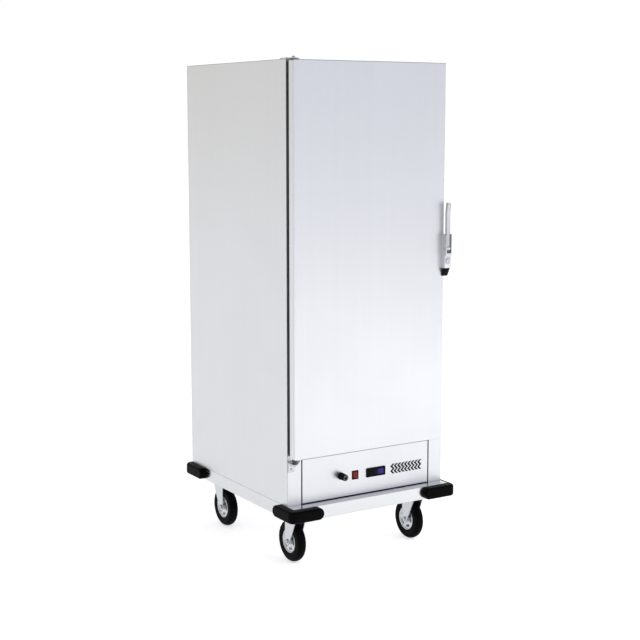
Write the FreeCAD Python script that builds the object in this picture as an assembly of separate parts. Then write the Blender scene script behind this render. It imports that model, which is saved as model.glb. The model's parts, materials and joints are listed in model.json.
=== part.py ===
import FreeCAD, Part
import math
import os

# Mobile insulated proofing cabinet, in millimetres.
# +X is the cabinet's right, -Y its front, +Z up. The origin is the middle of the footprint, on the floor.

# ---------------------------------------------------------------- driving sizes

# Insulated body
BODY_WIDTH = 700.0
BODY_DEPTH = 775.0
BODY_HEIGHT = 1618.0
WALL = 55.0
BAY_CEILING_WALL = 40.0
OUTER_SHEET = 1.2
LINER_SHEET = 1.0

# Chassis tray
CHASSIS_HEIGHT = 50.0
CHASSIS_LEDGE = 45.0
CHASSIS_SHEET = 2.0
CHASSIS_LIP = 30.0
CHANNEL_WIDTH = 130.0
CHANNEL_SHEET = 3.0

# Corner bumpers
BUMPER_THICKNESS = 25.0
BUMPER_ARM = 120.0
BUMPER_HEIGHT = 45.0
BUMPER_DROP = 4.0
BUMPER_EDGE_R = 9.0

# Castors
CASTOR_HEIGHT = 196.5
CASTOR_INSET_X = 78.5
CASTOR_INSET_Y = 107.0
CASTOR_TRAIL = 36.0
CASTOR_PLATE_X = 105.0
CASTOR_PLATE_Y = 85.0
CASTOR_PLATE_T = 4.0
CASTOR_BOLTS_X = 80.0
CASTOR_BOLTS_Y = 60.0
CASTOR_BOLT_R = 4.0
RACEWAY_R = 37.0
RACEWAY_T = 6.0
KINGPIN_R = 6.0
FORK_SHEET = 3.0
CROWN_T = 4.0
CROWN_R = 38.0
LEG_BOSS_R = 15.0
LEG_KNEE_OUT = 44.0
LEG_KNEE_UP = 50.0
LEG_TOP_OUT = 66.0
AXLE_R = 5.0
WHEEL_R = 80.0
WHEEL_WIDTH = 36.0
TYRE_CROWN = 12.0
RIM_R = 45.0
RIM_DISC_T = 2.0
HUB_R = 11.0
RIM_HOLES = 5

# Door
KEEPER_STRIP = 37.4
DOOR_THICKNESS = 31.0
DOOR_BOTTOM = 184.7
DOOR_TOP_GAP = 3.5
DOOR_CORNER_R = 6.0
DOOR_EDGE_R = 2.0
SEAL_DEPTH = 19.3
SEAL_WIDTH = 10.0
SEAL_INSET = 7.0
SEAL_OVERLAP = 27.3
DOOR_PLUG_DEPTH = 8.0

# Pivot hinges
PIVOT_INSET = 10.0
PIVOT_BACK = 15.3
PIN_R = 5.0
BUSH_R = 8.0
BUSH_LENGTH = 28.0
BLOCK_WIDTH = 34.0
BLOCK_HEIGHT = 40.0
BRACKET_T = 4.0
BRACKET_REACH = 55.0
BRACKET_DEPTH = 42.0
LOWER_ARM_DROP = 16.7
LOWER_FLANGE_WIDTH = 26.0
LOWER_FLANGE_HEIGHT = 38.0
LOWER_FLANGE_T = 3.0
PIN_HEAD_R = 7.0
PIN_HEAD_T = 5.0

# Latch
LATCH_PROUD = 28.0
LATCH_OVERHANG = 19.4
LATCH_CHEEK = 5.0
LATCH_BACK_T = 4.0
LATCH_TOP = 979.0
LATCH_STEP = 897.0
LATCH_LOW = 850.0
LATCH_LOW_PROUD = 20.0
LATCH_FLOOR_T = 11.0
LATCH_FOOT = 31.0
LEVER_TOP = 1098.0
LEVER_WIDTH = 17.0
LEVER_T = 11.0
LEVER_PIVOT_Z = 925.0
LEVER_PIVOT_PROUD = 17.7
LEVER_BOSS_R = 9.0
LEVER_FLARE = 4.5
LEVER_FLARE_LENGTH = 38.0
LEVER_PIN_R = 3.0
TONGUE_WIDTH = 6.0
TONGUE_HEIGHT = 10.0
TONGUE_RISE = 4.0
TONGUE_OUT = 1.9
TONGUE_TIP_GAP = 5.0
KEEPER_T = 2.2
KEEPER_HEIGHT = 60.0
KEEPER_CHEEK = 18.0
LOCK_R = 8.0
LOCK_Z = 876.0
LOCK_BOSS_R = 11.5
LOCK_CAM = 9.5

# Controls
POST_WIDTH = 59.0
POST_SLOT = 5.0
PANEL_SLOT = 3.0
PANEL_RETURN = 20.0
PANEL_LIP = 12.0
CONTROL_Z = 79.0
KNOB_X = -117.0
KNOB_Z = 84.0
KNOB_R = 14.0
KNOB_FACE_R = 10.5
KNOB_LENGTH = 35.0
SPINDLE_R = 3.0
SPINDLE_LENGTH = 24.0
THERMOSTAT_R = 22.0
THERMOSTAT_DEPTH = 32.0
ROCKER_X = -52.7
ROCKER_WIDTH = 28.0
ROCKER_HEIGHT = 34.0
ROCKER_RIM = 3.5
ROCKER_TILT = 8.0
DISPLAY_X = 41.0
DISPLAY_WIDTH = 86.0
DISPLAY_HEIGHT = 35.0
DISPLAY_PROUD = 4.0
WINDOW_WIDTH = 40.0
WINDOW_HEIGHT = 20.0
WINDOW_SHIFT = 14.0
VENT_X = 183.0
VENT_COUNT = 9
VENT_PITCH = 15.9
VENT_HEIGHT = 38.5
VENT_SWING = 5.5
VENT_SLOT = 6.0
VENT_LEGS = 4

# Cavity fittings
TRAY_WIDTH = 530.0
TRAY_LENGTH = 650.0
TRAY_PITCH = 113.0
SLIDE_WIDTH = 20.0
SLIDE_T = 2.5
UPRIGHT_WIDTH = 20.0
GRILLE_HEIGHT = 95.0
GRILLE_SHEET = 1.5
FAN_X = 130.0
FAN_R = 75.0
FAN_HEIGHT = 35.0
FAN_BLADES = 10
SHAFT_R = 4.0
HEATER_R = 90.0
HEATER_TUBE_R = 4.0
MOTOR_R = 38.0
MOTOR_HEIGHT = 70.0
PAN_X = -130.0
PAN_LENGTH = 240.0
PAN_WIDTH = 200.0
PAN_HEIGHT = 45.0

# Cord gland
GLAND_X = 230.0
GLAND_Z = 60.0
GLAND_BORE_R = 5.5
GLAND_R = 10.0

# Clearances
RUNNING = 0.08
FACE_GAP = 0.4
BOLT_CLEARANCE = 0.5
CUT_CLEARANCE = 0.5
WHEEL_CLEARANCE = 2.5
HUB_CLEARANCE = 1.5
RIM_SET_IN = 2.0
LEVER_CLEARANCE = 1.0

# ---------------------------------------------------------------- planes worked out from them

FRONTMOST = -(LATCH_PROUD + DOOR_THICKNESS + SEAL_DEPTH + BODY_DEPTH + BUMPER_THICKNESS) / 2
DOOR_FACE = FRONTMOST + LATCH_PROUD
DOOR_BACK = DOOR_FACE + DOOR_THICKNESS
FRONT = DOOR_BACK + SEAL_DEPTH
BACK = FRONT + BODY_DEPTH
SIDE = BODY_WIDTH / 2
DECK = CASTOR_HEIGHT + CHASSIS_HEIGHT
TOP = DECK + BODY_HEIGHT
LEDGE_FRONT = FRONT - CHASSIS_LEDGE

DOOR_LEFT = -SIDE
DOOR_RIGHT = SIDE - KEEPER_STRIP
DOOR_LOW = DECK + DOOR_BOTTOM
DOOR_HIGH = TOP - DOOR_TOP_GAP
PIVOT_X = DOOR_LEFT + PIVOT_INSET
PIVOT_Y = DOOR_FACE + PIVOT_BACK

CAVITY_SIDE = SIDE - WALL
CAVITY_LOW = DOOR_LOW + SEAL_OVERLAP
CAVITY_HIGH = TOP - WALL
CAVITY_BACK = BACK - WALL
CAVITY_MID = (FRONT + CAVITY_BACK) / 2
BAY_HIGH = CAVITY_LOW - BAY_CEILING_WALL
GRILLE_TOP = CAVITY_LOW + GRILLE_HEIGHT

FORK_WIDTH = WHEEL_WIDTH + 2 * (WHEEL_CLEARANCE + FORK_SHEET)
HUB_LENGTH = FORK_WIDTH - 2 * (FORK_SHEET + HUB_CLEARANCE)
RIM_WIDTH = WHEEL_WIDTH - 2 * RIM_SET_IN
CROWN_HIGH = CASTOR_HEIGHT - CASTOR_PLATE_T - RACEWAY_T - FACE_GAP
CROWN_LOW = CROWN_HIGH - CROWN_T
SWIVEL_X = SIDE - CASTOR_INSET_X
SWIVEL_FRONT = LEDGE_FRONT + CASTOR_INSET_Y
SWIVEL_REAR = BACK - CASTOR_INSET_Y
# name, swivel x, swivel y, and which way along Y the wheel trails
CASTORS = (
    ("front_left", -SWIVEL_X, SWIVEL_FRONT, 1),
    ("front_right", SWIVEL_X, SWIVEL_FRONT, 1),
    ("rear_left", -SWIVEL_X, SWIVEL_REAR, -1),
    ("rear_right", SWIVEL_X, SWIVEL_REAR, -1),
)

LATCH_WIDTH = LEVER_WIDTH + 2 * (LEVER_CLEARANCE + LATCH_CHEEK)
LATCH_RIGHT = DOOR_RIGHT + LATCH_OVERHANG
LATCH_LEFT = LATCH_RIGHT - LATCH_WIDTH
LATCH_MID = (LATCH_LEFT + LATCH_RIGHT) / 2
LEVER_Y = DOOR_FACE - LEVER_PIVOT_PROUD
LEVER_Z = DECK + LEVER_PIVOT_Z
TONGUE_LEFT = DOOR_RIGHT + TONGUE_OUT
TONGUE_RIGHT = TONGUE_LEFT + TONGUE_WIDTH
TONGUE_LOW = LEVER_Z + TONGUE_RISE
LOCK_X = LATCH_MID + 1.5
KEEPER_SCREW_X = SIDE - 8.0

X = FreeCAD.Vector(1, 0, 0)
Y = FreeCAD.Vector(0, 1, 0)
Z = FreeCAD.Vector(0, 0, 1)


# ---------------------------------------------------------------- shape helpers

def point(x, y, z):
    return FreeCAD.Vector(x, y, z)


def box(x0, x1, y0, y1, z0, z1):
    """Axis-aligned block between two corners."""
    return Part.makeBox(x1 - x0, y1 - y0, z1 - z0, point(x0, y0, z0))


def rod(start, axis, radius, length):
    """Round bar from a point along an axis."""
    return Part.makeCylinder(radius, length, start, axis)


def hexagon(start, axis, across_flats, height):
    """Hexagonal prism centred on start, standing along axis."""
    reach = across_flats / math.sqrt(3)
    side = Z if abs(axis.z) < 0.5 else X
    other = axis.cross(side)
    corners = []
    for step in range(7):
        turn = math.radians(60 * step)
        corners.append(start + side * (reach * math.cos(turn)) + other * (reach * math.sin(turn)))
    return Part.Face(Part.makePolygon(corners)).extrude(axis * height)


def prism(corners, along):
    """Closed outline of points pushed along a vector."""
    return Part.Face(Part.makePolygon(corners + [corners[0]])).extrude(along)


def turned(profile, centre, axis):
    """Solid of revolution: profile holds (along, radius) pairs measured from centre."""
    side = Z if abs(axis.z) < 0.5 else X
    corners = [centre + axis * along + side * radius for along, radius in profile]
    face = Part.Face(Part.makePolygon(corners + [corners[0]]))
    return face.revolve(centre, axis, 360)


def fused(shapes):
    """One clean solid from several that meet."""
    whole = shapes[0]
    if len(shapes) > 1:
        whole = whole.multiFuse(shapes[1:])
    return whole.removeSplitter()


def edges_along(shape, axis):
    """Straight edges that run along an axis."""
    found = []
    for edge in shape.Edges:
        if edge.Curve.TypeId != "Part::GeomLine":
            continue
        if abs(abs(edge.Curve.Direction.dot(axis)) - 1) < 1e-6:
            found.append(edge)
    return found


def edges_at(shape, axis, level):
    """Edges that lie wholly in the plane at one level along an axis."""
    found = []
    for edge in shape.Edges:
        if all(abs(vertex.Point.dot(axis) - level) < 1e-4 for vertex in edge.Vertexes):
            middle = edge.valueAt((edge.FirstParameter + edge.LastParameter) / 2)
            if abs(middle.dot(axis) - level) < 1e-4:
                found.append(edge)
    return found


def save(node, shapes):
    """Write one node: a single solid, or a group of alike ones."""
    shape = shapes if not isinstance(shapes, list) else Part.makeCompound(shapes)
    shape.exportStep(os.path.join("parts", node + ".step"))


# ---------------------------------------------------------------- chassis and bumpers

def chassis_tray():
    """Deck plate on four lipped skirts, with two castor channels welded across."""
    t = CHASSIS_SHEET
    lip = CHASSIS_LIP
    low = CASTOR_HEIGHT
    high = DECK - t
    pieces = [box(-SIDE, SIDE, LEDGE_FRONT, BACK, high, DECK)]
    for y, inward in ((LEDGE_FRONT, 1), (BACK, -1)):
        ys = sorted((y, y + inward * t))
        lip_ys = sorted((y, y + inward * lip))
        skirt = box(-SIDE, SIDE, ys[0], ys[1], low, high)
        pieces.append(fused([skirt, box(-SIDE, SIDE, lip_ys[0], lip_ys[1], low, low + t)]))
    for x, inward in ((-SIDE, 1), (SIDE, -1)):
        xs = sorted((x, x + inward * t))
        lip_xs = sorted((x, x + inward * lip))
        skirt = box(xs[0], xs[1], LEDGE_FRONT + t, BACK - t, low + t, high)
        foot = box(lip_xs[0], lip_xs[1], LEDGE_FRONT + lip, BACK - lip, low, low + t)
        pieces.append(fused([skirt, foot]))
    for y in (SWIVEL_FRONT, SWIVEL_REAR):
        pieces.append(castor_channel(y))
    holes = Part.makeCompound(castor_bolt_shanks(CASTOR_BOLT_R + BOLT_CLEARANCE))
    return [piece.cut(holes) for piece in pieces]


def castor_channel(y):
    """Upturned channel between the side lips that a pair of castors bolts to."""
    half = CHANNEL_WIDTH / 2
    reach = SIDE - CHASSIS_LIP
    low = CASTOR_HEIGHT
    high = DECK - CHASSIS_SHEET
    web = box(-reach, reach, y - half, y + half, low, low + CHANNEL_SHEET)
    near = box(-reach, reach, y - half, y - half + CHANNEL_SHEET, low, high)
    far = box(-reach, reach, y + half - CHANNEL_SHEET, y + half, low, high)
    return fused([web, near, far])


def corner_bumper(right, rear):
    """L-shaped rubber moulding round one chassis corner, with rounded arm ends."""
    t = BUMPER_THICKNESS
    high = DECK - BUMPER_DROP
    low = high - BUMPER_HEIGHT
    end_r = BUMPER_HEIGHT / 2
    middle = low + end_r
    straight = BUMPER_ARM - end_r
    arm_x = box(0, straight, -t, 0, low, high)
    end_x = rod(point(straight, -t, middle), Y, end_r, t)
    arm_y = box(-t, 0, 0, straight, low, high)
    end_y = rod(point(-t, straight, middle), X, end_r, t)
    corner = Part.makeCylinder(t, BUMPER_HEIGHT, point(0, 0, low), Z, 90)
    corner.rotate(point(0, 0, low), Z, 180)
    bumper = fused([arm_x, end_x, arm_y, end_y, corner])
    bumper = bumper.makeFillet(BUMPER_EDGE_R, outer_bumper_edges(bumper))
    if right:
        bumper = bumper.mirror(point(0, 0, 0), X)
    if rear:
        bumper = bumper.mirror(point(0, 0, 0), Y)
    bumper.translate(point(SIDE if right else -SIDE, BACK if rear else LEDGE_FRONT, 0))
    return bumper


def outer_bumper_edges(bumper):
    """The rim of the bumper's outer face, which is what a trolley knock meets first."""
    t = BUMPER_THICKNESS
    found = []
    for edge in bumper.Edges:
        middle = edge.valueAt((edge.FirstParameter + edge.LastParameter) / 2)
        upright = abs(edge.Vertexes[0].Z - edge.Vertexes[-1].Z) > BUMPER_HEIGHT - 1
        on_face = abs(middle.x + t) < 1e-4 or abs(middle.y + t) < 1e-4
        on_corner = abs(math.hypot(middle.x, middle.y) - t) < 1e-4 and middle.x < 0 and middle.y < 0
        at_seam = upright and edge.Curve.TypeId == "Part::GeomLine"
        if (on_face or on_corner) and not at_seam:
            found.append(edge)
    return found


# ---------------------------------------------------------------- castors

def castor_bolt_places():
    """The four bolt centres of every castor plate."""
    places = []
    for _, x, y, _ in CASTORS:
        for dx in (-CASTOR_BOLTS_X / 2, CASTOR_BOLTS_X / 2):
            for dy in (-CASTOR_BOLTS_Y / 2, CASTOR_BOLTS_Y / 2):
                places.append((x + dx, y + dy))
    return places


def castor_bolt_shanks(radius):
    low = CASTOR_HEIGHT - CASTOR_PLATE_T
    length = CASTOR_PLATE_T + CHANNEL_SHEET
    return [rod(point(x, y, low), Z, radius, length) for x, y in castor_bolt_places()]


def castor_bolts():
    """Hexagon bolts up through plate and channel, each with its nut run on."""
    head = 5.0
    nut = 6.5
    flats = CASTOR_BOLT_R * 3.25
    low = CASTOR_HEIGHT - CASTOR_PLATE_T
    high = CASTOR_HEIGHT + CHANNEL_SHEET
    bolts = []
    for x, y in castor_bolt_places():
        parts = [
            rod(point(x, y, low), Z, CASTOR_BOLT_R, high - low + nut + 3),
            hexagon(point(x, y, low), -Z, flats, head),
            hexagon(point(x, y, high), Z, flats, nut),
        ]
        bolts.append(fused(parts))
    return bolts


def castor_plate(x, y):
    """Top plate with its pressed raceway and the king pin that carries the fork."""
    low = CASTOR_HEIGHT - CASTOR_PLATE_T
    plate = box(
        x - CASTOR_PLATE_X / 2, x + CASTOR_PLATE_X / 2,
        y - CASTOR_PLATE_Y / 2, y + CASTOR_PLATE_Y / 2,
        low, CASTOR_HEIGHT,
    )
    plate = plate.makeFillet(8.0, edges_along(plate, Z))
    raceway = Part.makeCone(RACEWAY_R - 2, RACEWAY_R, RACEWAY_T, point(x, y, low - RACEWAY_T), Z)
    pin_low = CROWN_LOW - FACE_GAP
    nut_height = 7.0
    pin = rod(point(x, y, pin_low), Z, KINGPIN_R, low - pin_low)
    nut = hexagon(point(x, y, pin_low), -Z, KINGPIN_R * 3, nut_height)
    holes = castor_bolt_shanks(CASTOR_BOLT_R + BOLT_CLEARANCE)
    return fused([plate, raceway, pin, nut]).cut(Part.makeCompound(holes))


def fork_leg_face(x, axle_y, trail_sign):
    """Outline of one fork leg: upright back edge, slanting front edge, round end at the axle."""
    def at(out, up):
        return point(x, axle_y - trail_sign * out, WHEEL_R + up)

    reach = math.hypot(LEG_KNEE_OUT, LEG_KNEE_UP)
    touch = math.atan2(LEG_KNEE_UP, LEG_KNEE_OUT) - math.acos(LEG_BOSS_R / reach)
    middle = (touch - math.pi) / 2
    start = at(LEG_BOSS_R * math.cos(touch), LEG_BOSS_R * math.sin(touch))
    under = at(LEG_BOSS_R * math.cos(middle), LEG_BOSS_R * math.sin(middle))
    end = at(-LEG_BOSS_R, 0)
    top = CROWN_HIGH - WHEEL_R
    edges = [
        Part.Arc(start, under, end).toShape(),
        Part.LineSegment(end, at(-LEG_BOSS_R, top)).toShape(),
        Part.LineSegment(at(-LEG_BOSS_R, top), at(LEG_TOP_OUT, top)).toShape(),
        Part.LineSegment(at(LEG_TOP_OUT, top), at(LEG_KNEE_OUT, LEG_KNEE_UP)).toShape(),
        Part.LineSegment(at(LEG_KNEE_OUT, LEG_KNEE_UP), start).toShape(),
    ]
    return Part.Face(Part.Wire(edges))


def castor_fork(x, y, trail_sign):
    """Pressed fork: crown plate on the raceway, and a leg down each side of the wheel."""
    axle_y = y + trail_sign * CASTOR_TRAIL
    half = FORK_WIDTH / 2
    legs = [
        fork_leg_face(x - half, axle_y, trail_sign).extrude(X * FORK_SHEET),
        fork_leg_face(x + half - FORK_SHEET, axle_y, trail_sign).extrude(X * FORK_SHEET),
    ]
    ends = sorted((axle_y + trail_sign * LEG_BOSS_R, axle_y - trail_sign * LEG_TOP_OUT))
    bridge = box(x - half, x + half, ends[0], ends[1], CROWN_LOW, CROWN_HIGH)
    crown = rod(point(x, y, CROWN_LOW), Z, CROWN_R, CROWN_T)
    fork = fused(legs + [bridge, crown])
    fork = fork.cut(rod(point(x, y, CROWN_LOW - 1), Z, KINGPIN_R + RUNNING, CROWN_T + 2))
    return fork.cut(rod(point(x - half - 1, axle_y, WHEEL_R), X, AXLE_R, FORK_WIDTH + 2))


def castor_axle(x, axle_y):
    """Axle bolt across the fork with its head on the left and its nut on the right."""
    half = FORK_WIDTH / 2
    flats = AXLE_R * 3
    shank = rod(point(x - half, axle_y, WHEEL_R), X, AXLE_R, FORK_WIDTH)
    head = hexagon(point(x - half, axle_y, WHEEL_R), -X, flats, 4.5)
    nut = hexagon(point(x + half, axle_y, WHEEL_R), X, flats, 6.0)
    tail = rod(point(x + half, axle_y, WHEEL_R), X, AXLE_R - 0.5, 8.0)
    return fused([shank, head, nut, tail])


def kidney(radius, half_width, half_angle, turn, x, axle_y):
    """Curved slot through the wheel discs."""
    centre = point(x - WHEEL_WIDTH, axle_y, WHEEL_R)

    def at(r, angle):
        return centre + Y * (r * math.cos(angle)) + Z * (r * math.sin(angle))

    inner = radius - half_width
    outer = radius + half_width
    first = turn - half_angle
    last = turn + half_angle
    edges = [
        Part.Arc(at(outer, first), at(outer, turn), at(outer, last)).toShape(),
        Part.LineSegment(at(outer, last), at(inner, last)).toShape(),
        Part.Arc(at(inner, last), at(inner, turn), at(inner, first)).toShape(),
        Part.LineSegment(at(inner, first), at(outer, first)).toShape(),
    ]
    return Part.Face(Part.Wire(edges)).extrude(X * (2 * WHEEL_WIDTH))


def castor_rim(x, axle_y):
    """Two pressed discs on a hub tube, joined by the barrel that the tyre sits on."""
    half = RIM_WIDTH / 2
    hub = HUB_LENGTH / 2
    disc = half - 3.0
    bore = AXLE_R + RUNNING
    centre = point(x, axle_y, WHEEL_R)
    outline = [
        (-hub, bore), (hub, bore), (hub, HUB_R), (disc, HUB_R), (disc, RIM_R - 5), (half, RIM_R - 3),
        (half, RIM_R), (-half, RIM_R), (-half, RIM_R - 3), (-disc, RIM_R - 5), (-disc, HUB_R), (-hub, HUB_R),
    ]
    gap = disc - RIM_DISC_T
    hollow = [(-gap, HUB_R), (gap, HUB_R), (gap, RIM_R - 4), (-gap, RIM_R - 4)]
    rim = turned(outline, centre, X).cut(turned(hollow, centre, X))
    slots = []
    for step in range(RIM_HOLES):
        turn = math.pi + step * 2 * math.pi / RIM_HOLES
        slots.append(kidney((HUB_R + RIM_R) / 2 + 2, 4.5, 0.34, turn, x, axle_y))
    return rim.cut(Part.makeCompound(slots))


def castor_tyre(x, axle_y):
    """Rubber tyre with a rounded tread."""
    half = WHEEL_WIDTH / 2
    seat = RIM_WIDTH / 2
    centre = point(x, axle_y, WHEEL_R)

    def at(along, radius):
        return centre + X * along + Z * radius

    shoulder = WHEEL_R - TYRE_CROWN
    wall = RIM_R + 6
    edges = [
        Part.LineSegment(at(-seat, RIM_R), at(seat, RIM_R)).toShape(),
        Part.LineSegment(at(seat, RIM_R), at(half, wall)).toShape(),
        Part.LineSegment(at(half, wall), at(half, shoulder)).toShape(),
        Part.Arc(at(half, shoulder), at(0, WHEEL_R), at(-half, shoulder)).toShape(),
        Part.LineSegment(at(-half, shoulder), at(-half, wall)).toShape(),
        Part.LineSegment(at(-half, wall), at(-seat, RIM_R)).toShape(),
    ]
    return Part.Face(Part.Wire(edges)).revolve(centre, X, 360)


# ---------------------------------------------------------------- insulated body

def side_panel(left):
    """Outer side sheet with a foot flange that lies on the deck."""
    flange = 15.0
    y0 = FRONT + OUTER_SHEET
    y1 = BACK - OUTER_SHEET
    sheet = box(-SIDE, -SIDE + OUTER_SHEET, y0, y1, DECK, TOP - OUTER_SHEET)
    foot = box(-SIDE, -SIDE + flange, y0, y1, DECK, DECK + OUTER_SHEET)
    panel = fused([sheet, foot])
    panel = panel.cut(post_return(-1)) if left else panel.mirror(point(0, 0, 0), X).cut(post_return(1))
    return panel


def top_panel():
    """Flat lid sheet over the body."""
    panel = box(-SIDE, SIDE, FRONT, BACK, TOP - OUTER_SHEET, TOP)
    return panel.cut(Part.makeCompound(frame_screw_shanks()))


def back_panel():
    """Rear sheet, down to the deck, pierced for the cord gland."""
    panel = box(-SIDE, SIDE, BACK - OUTER_SHEET, BACK, DECK, TOP - OUTER_SHEET)
    return panel.cut(rod(point(GLAND_X, BACK - 5, DECK + GLAND_Z), Y, GLAND_R, 10))


def post_return(side):
    """Fold of a front post that runs back beside the control panel."""
    edge = side * (SIDE - POST_WIDTH)
    xs = sorted((edge, edge + side * OUTER_SHEET))
    depth = PANEL_RETURN + 2 * OUTER_SHEET
    return box(xs[0], xs[1], FRONT, FRONT + depth, DECK, BAY_HIGH)


def front_frame():
    """Face frame round the cavity mouth, with its sill."""
    t = OUTER_SHEET
    face = box(-SIDE, SIDE, FRONT, FRONT + t, BAY_HIGH, TOP - t)
    mouth = box(-CAVITY_SIDE, CAVITY_SIDE, FRONT - 1, FRONT + 5, CAVITY_LOW, CAVITY_HIGH)
    return face.cut(mouth).cut(Part.makeCompound(frame_screw_shanks()))


def bay_post(side):
    """Channel post beside the control panel, with the lip that the panel rests against."""
    t = OUTER_SHEET
    edge = side * (SIDE - POST_WIDTH)
    face_xs = sorted((side * SIDE, edge))
    face = box(face_xs[0], face_xs[1], FRONT, FRONT + t, DECK, BAY_HIGH)
    lip_xs = sorted((edge + side * t, edge - side * PANEL_LIP))
    lip_y = FRONT + t + PANEL_RETURN
    lip = box(lip_xs[0], lip_xs[1], lip_y, lip_y + t, DECK, BAY_HIGH)
    return fused([face, post_return(side), lip]).cut(Part.makeCompound(frame_screw_shanks()))


def bay_ceiling():
    """Sheet between machine bay and foam, pierced for the fan shaft and the heater's ends."""
    t = OUTER_SHEET
    sheet = box(-SIDE + t, SIDE - t, FRONT + t, BACK - t, BAY_HIGH, BAY_HIGH + t)
    return sheet.cut(Part.makeCompound(floor_holes()))


def floor_holes():
    """Holes down through the cavity's floor for the fan shaft and the heater's ends."""
    shaft = rod(point(FAN_X, CAVITY_MID, BAY_HIGH - 1), Z, 2 * SHAFT_R, 2 * BAY_CEILING_WALL)
    return [shaft] + [rod(foot, Z, HEATER_TUBE_R, 2 * BAY_CEILING_WALL) for foot in heater_lead_feet()]


def cavity_block():
    """Outside of the liner, which the foam wraps."""
    s = LINER_SHEET
    return box(
        -CAVITY_SIDE - s, CAVITY_SIDE + s, FRONT, CAVITY_BACK + s, CAVITY_LOW - s, CAVITY_HIGH + s
    )


def body_insulation():
    """Rigid foam boards between liner and outer sheets: two sides, back, roof and floor."""
    t = OUTER_SHEET
    s = LINER_SHEET
    side = SIDE - t
    inner = CAVITY_SIDE + s
    y0 = FRONT + t
    y1 = BACK - t
    low = BAY_HIGH + t
    high = TOP - t
    boards = [
        box(-side, -inner, y0, y1, low, high),
        box(inner, side, y0, y1, low, high),
        box(-inner, inner, CAVITY_BACK + s, y1, low, high),
        box(-inner, inner, y0, CAVITY_BACK + s, CAVITY_HIGH + s, high),
        box(-inner, inner, y0, CAVITY_BACK + s, low, CAVITY_LOW - s),
    ]
    holes = Part.makeCompound(frame_screw_shanks() + floor_holes())
    return [board.cut(holes) for board in boards]


def cavity_liner():
    """Stainless tank, open at the front."""
    tank = cavity_block().common(box(-SIDE, SIDE, FRONT + OUTER_SHEET, BACK, DECK, TOP))
    room = box(-CAVITY_SIDE, CAVITY_SIDE, FRONT, CAVITY_BACK, CAVITY_LOW, CAVITY_HIGH)
    return tank.cut(room).cut(Part.makeCompound(floor_holes()))


# ---------------------------------------------------------------- cavity fittings

def tray_levels():
    """Heights of the slides, from just over the grille to just under the roof."""
    first = GRILLE_TOP + TRAY_PITCH / 2
    room = CAVITY_HIGH - TRAY_PITCH / 2 - first
    return [first + step * TRAY_PITCH for step in range(int(room // TRAY_PITCH) + 1)]


def tray_racks():
    """Three uprights on each side wall, and a ledge pair for every tray."""
    inner = TRAY_WIDTH / 2 + 1.5
    length = TRAY_LENGTH
    start = CAVITY_MID - length / 2
    pieces = []
    for side in (-1, 1):
        xs = sorted((side * inner, side * CAVITY_SIDE))
        for share in (0.1, 0.5, 0.9):
            y = start + share * length - UPRIGHT_WIDTH / 2
            pieces.append(box(xs[0], xs[1], y, y + UPRIGHT_WIDTH, CAVITY_LOW, CAVITY_HIGH - SLIDE_WIDTH))
        xs = sorted((side * inner, side * (inner - SLIDE_WIDTH)))
        for level in tray_levels():
            pieces.append(box(xs[0], xs[1], start, start + length, level - SLIDE_T, level))
    return pieces


def floor_grille():
    """Slotted cover plate on two folded legs, over the heater, fan and water pan."""
    side = TRAY_WIDTH / 2 - 10
    y0 = CAVITY_MID - TRAY_LENGTH / 2
    y1 = CAVITY_MID + TRAY_LENGTH / 2
    t = GRILLE_SHEET
    plate = box(-side, side, y0, y1, GRILLE_TOP - t, GRILLE_TOP)
    legs = [box(x, x + t, y0, y1, CAVITY_LOW, GRILLE_TOP - t) for x in (-side, side - t)]
    columns = 5
    rows = 14
    pitch_x = 2 * side / columns
    pitch_y = (y1 - y0) / rows
    slots = []
    for column in range(columns):
        for row in range(rows):
            x = -side + (column + 0.5) * pitch_x
            y = y0 + (row + 0.5) * pitch_y
            reach = 0.35 * pitch_x
            slots.append(box(x - reach, x + reach, y - 5, y + 5, GRILLE_TOP - 5, GRILLE_TOP + 1))
    return [plate.cut(Part.makeCompound(slots))] + legs


def water_pan():
    """Folded humidity pan on the cavity floor."""
    t = LINER_SHEET
    x0 = PAN_X - PAN_WIDTH / 2
    x1 = PAN_X + PAN_WIDTH / 2
    y0 = CAVITY_MID - PAN_LENGTH / 2
    y1 = CAVITY_MID + PAN_LENGTH / 2
    outer = box(x0, x1, y0, y1, CAVITY_LOW, CAVITY_LOW + PAN_HEIGHT)
    outer = outer.makeFillet(12.0, edges_along(outer, Z))
    inner = box(x0 + t, x1 - t, y0 + t, y1 - t, CAVITY_LOW + t, CAVITY_LOW + PAN_HEIGHT + 1)
    inner = inner.makeFillet(12.0 - t, edges_along(inner, Z))
    return outer.cut(inner)


def heater_lead_feet():
    """Where the heater's two ends go down through the floor."""
    return [point(FAN_X + dx, CAVITY_MID - HEATER_R, BAY_HIGH - 1) for dx in (-9.0, 9.0)]


def air_heater():
    """Sheathed ring element round the fan, its ends held in two ferrules that pass the floor."""
    height = CAVITY_LOW + 30.0
    ring = Part.makeTorus(HEATER_R, HEATER_TUBE_R, point(FAN_X, CAVITY_MID, height), Z)
    front = CAVITY_MID - HEATER_R
    notch = box(FAN_X - 9, FAN_X + 9, front - 12, front + 12, height - 9, height + 9)
    legs = []
    for foot in heater_lead_feet():
        below = point(foot.x, foot.y, BAY_HIGH - 20)
        seat = point(foot.x, foot.y, CAVITY_LOW)
        legs.append(rod(below, Z, HEATER_TUBE_R, CAVITY_LOW - below.z + 1))
        legs.append(rod(seat, Z, HEATER_TUBE_R + 2, height - seat.z + HEATER_TUBE_R + 1))
    return fused([ring.cut(notch)] + legs)


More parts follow.
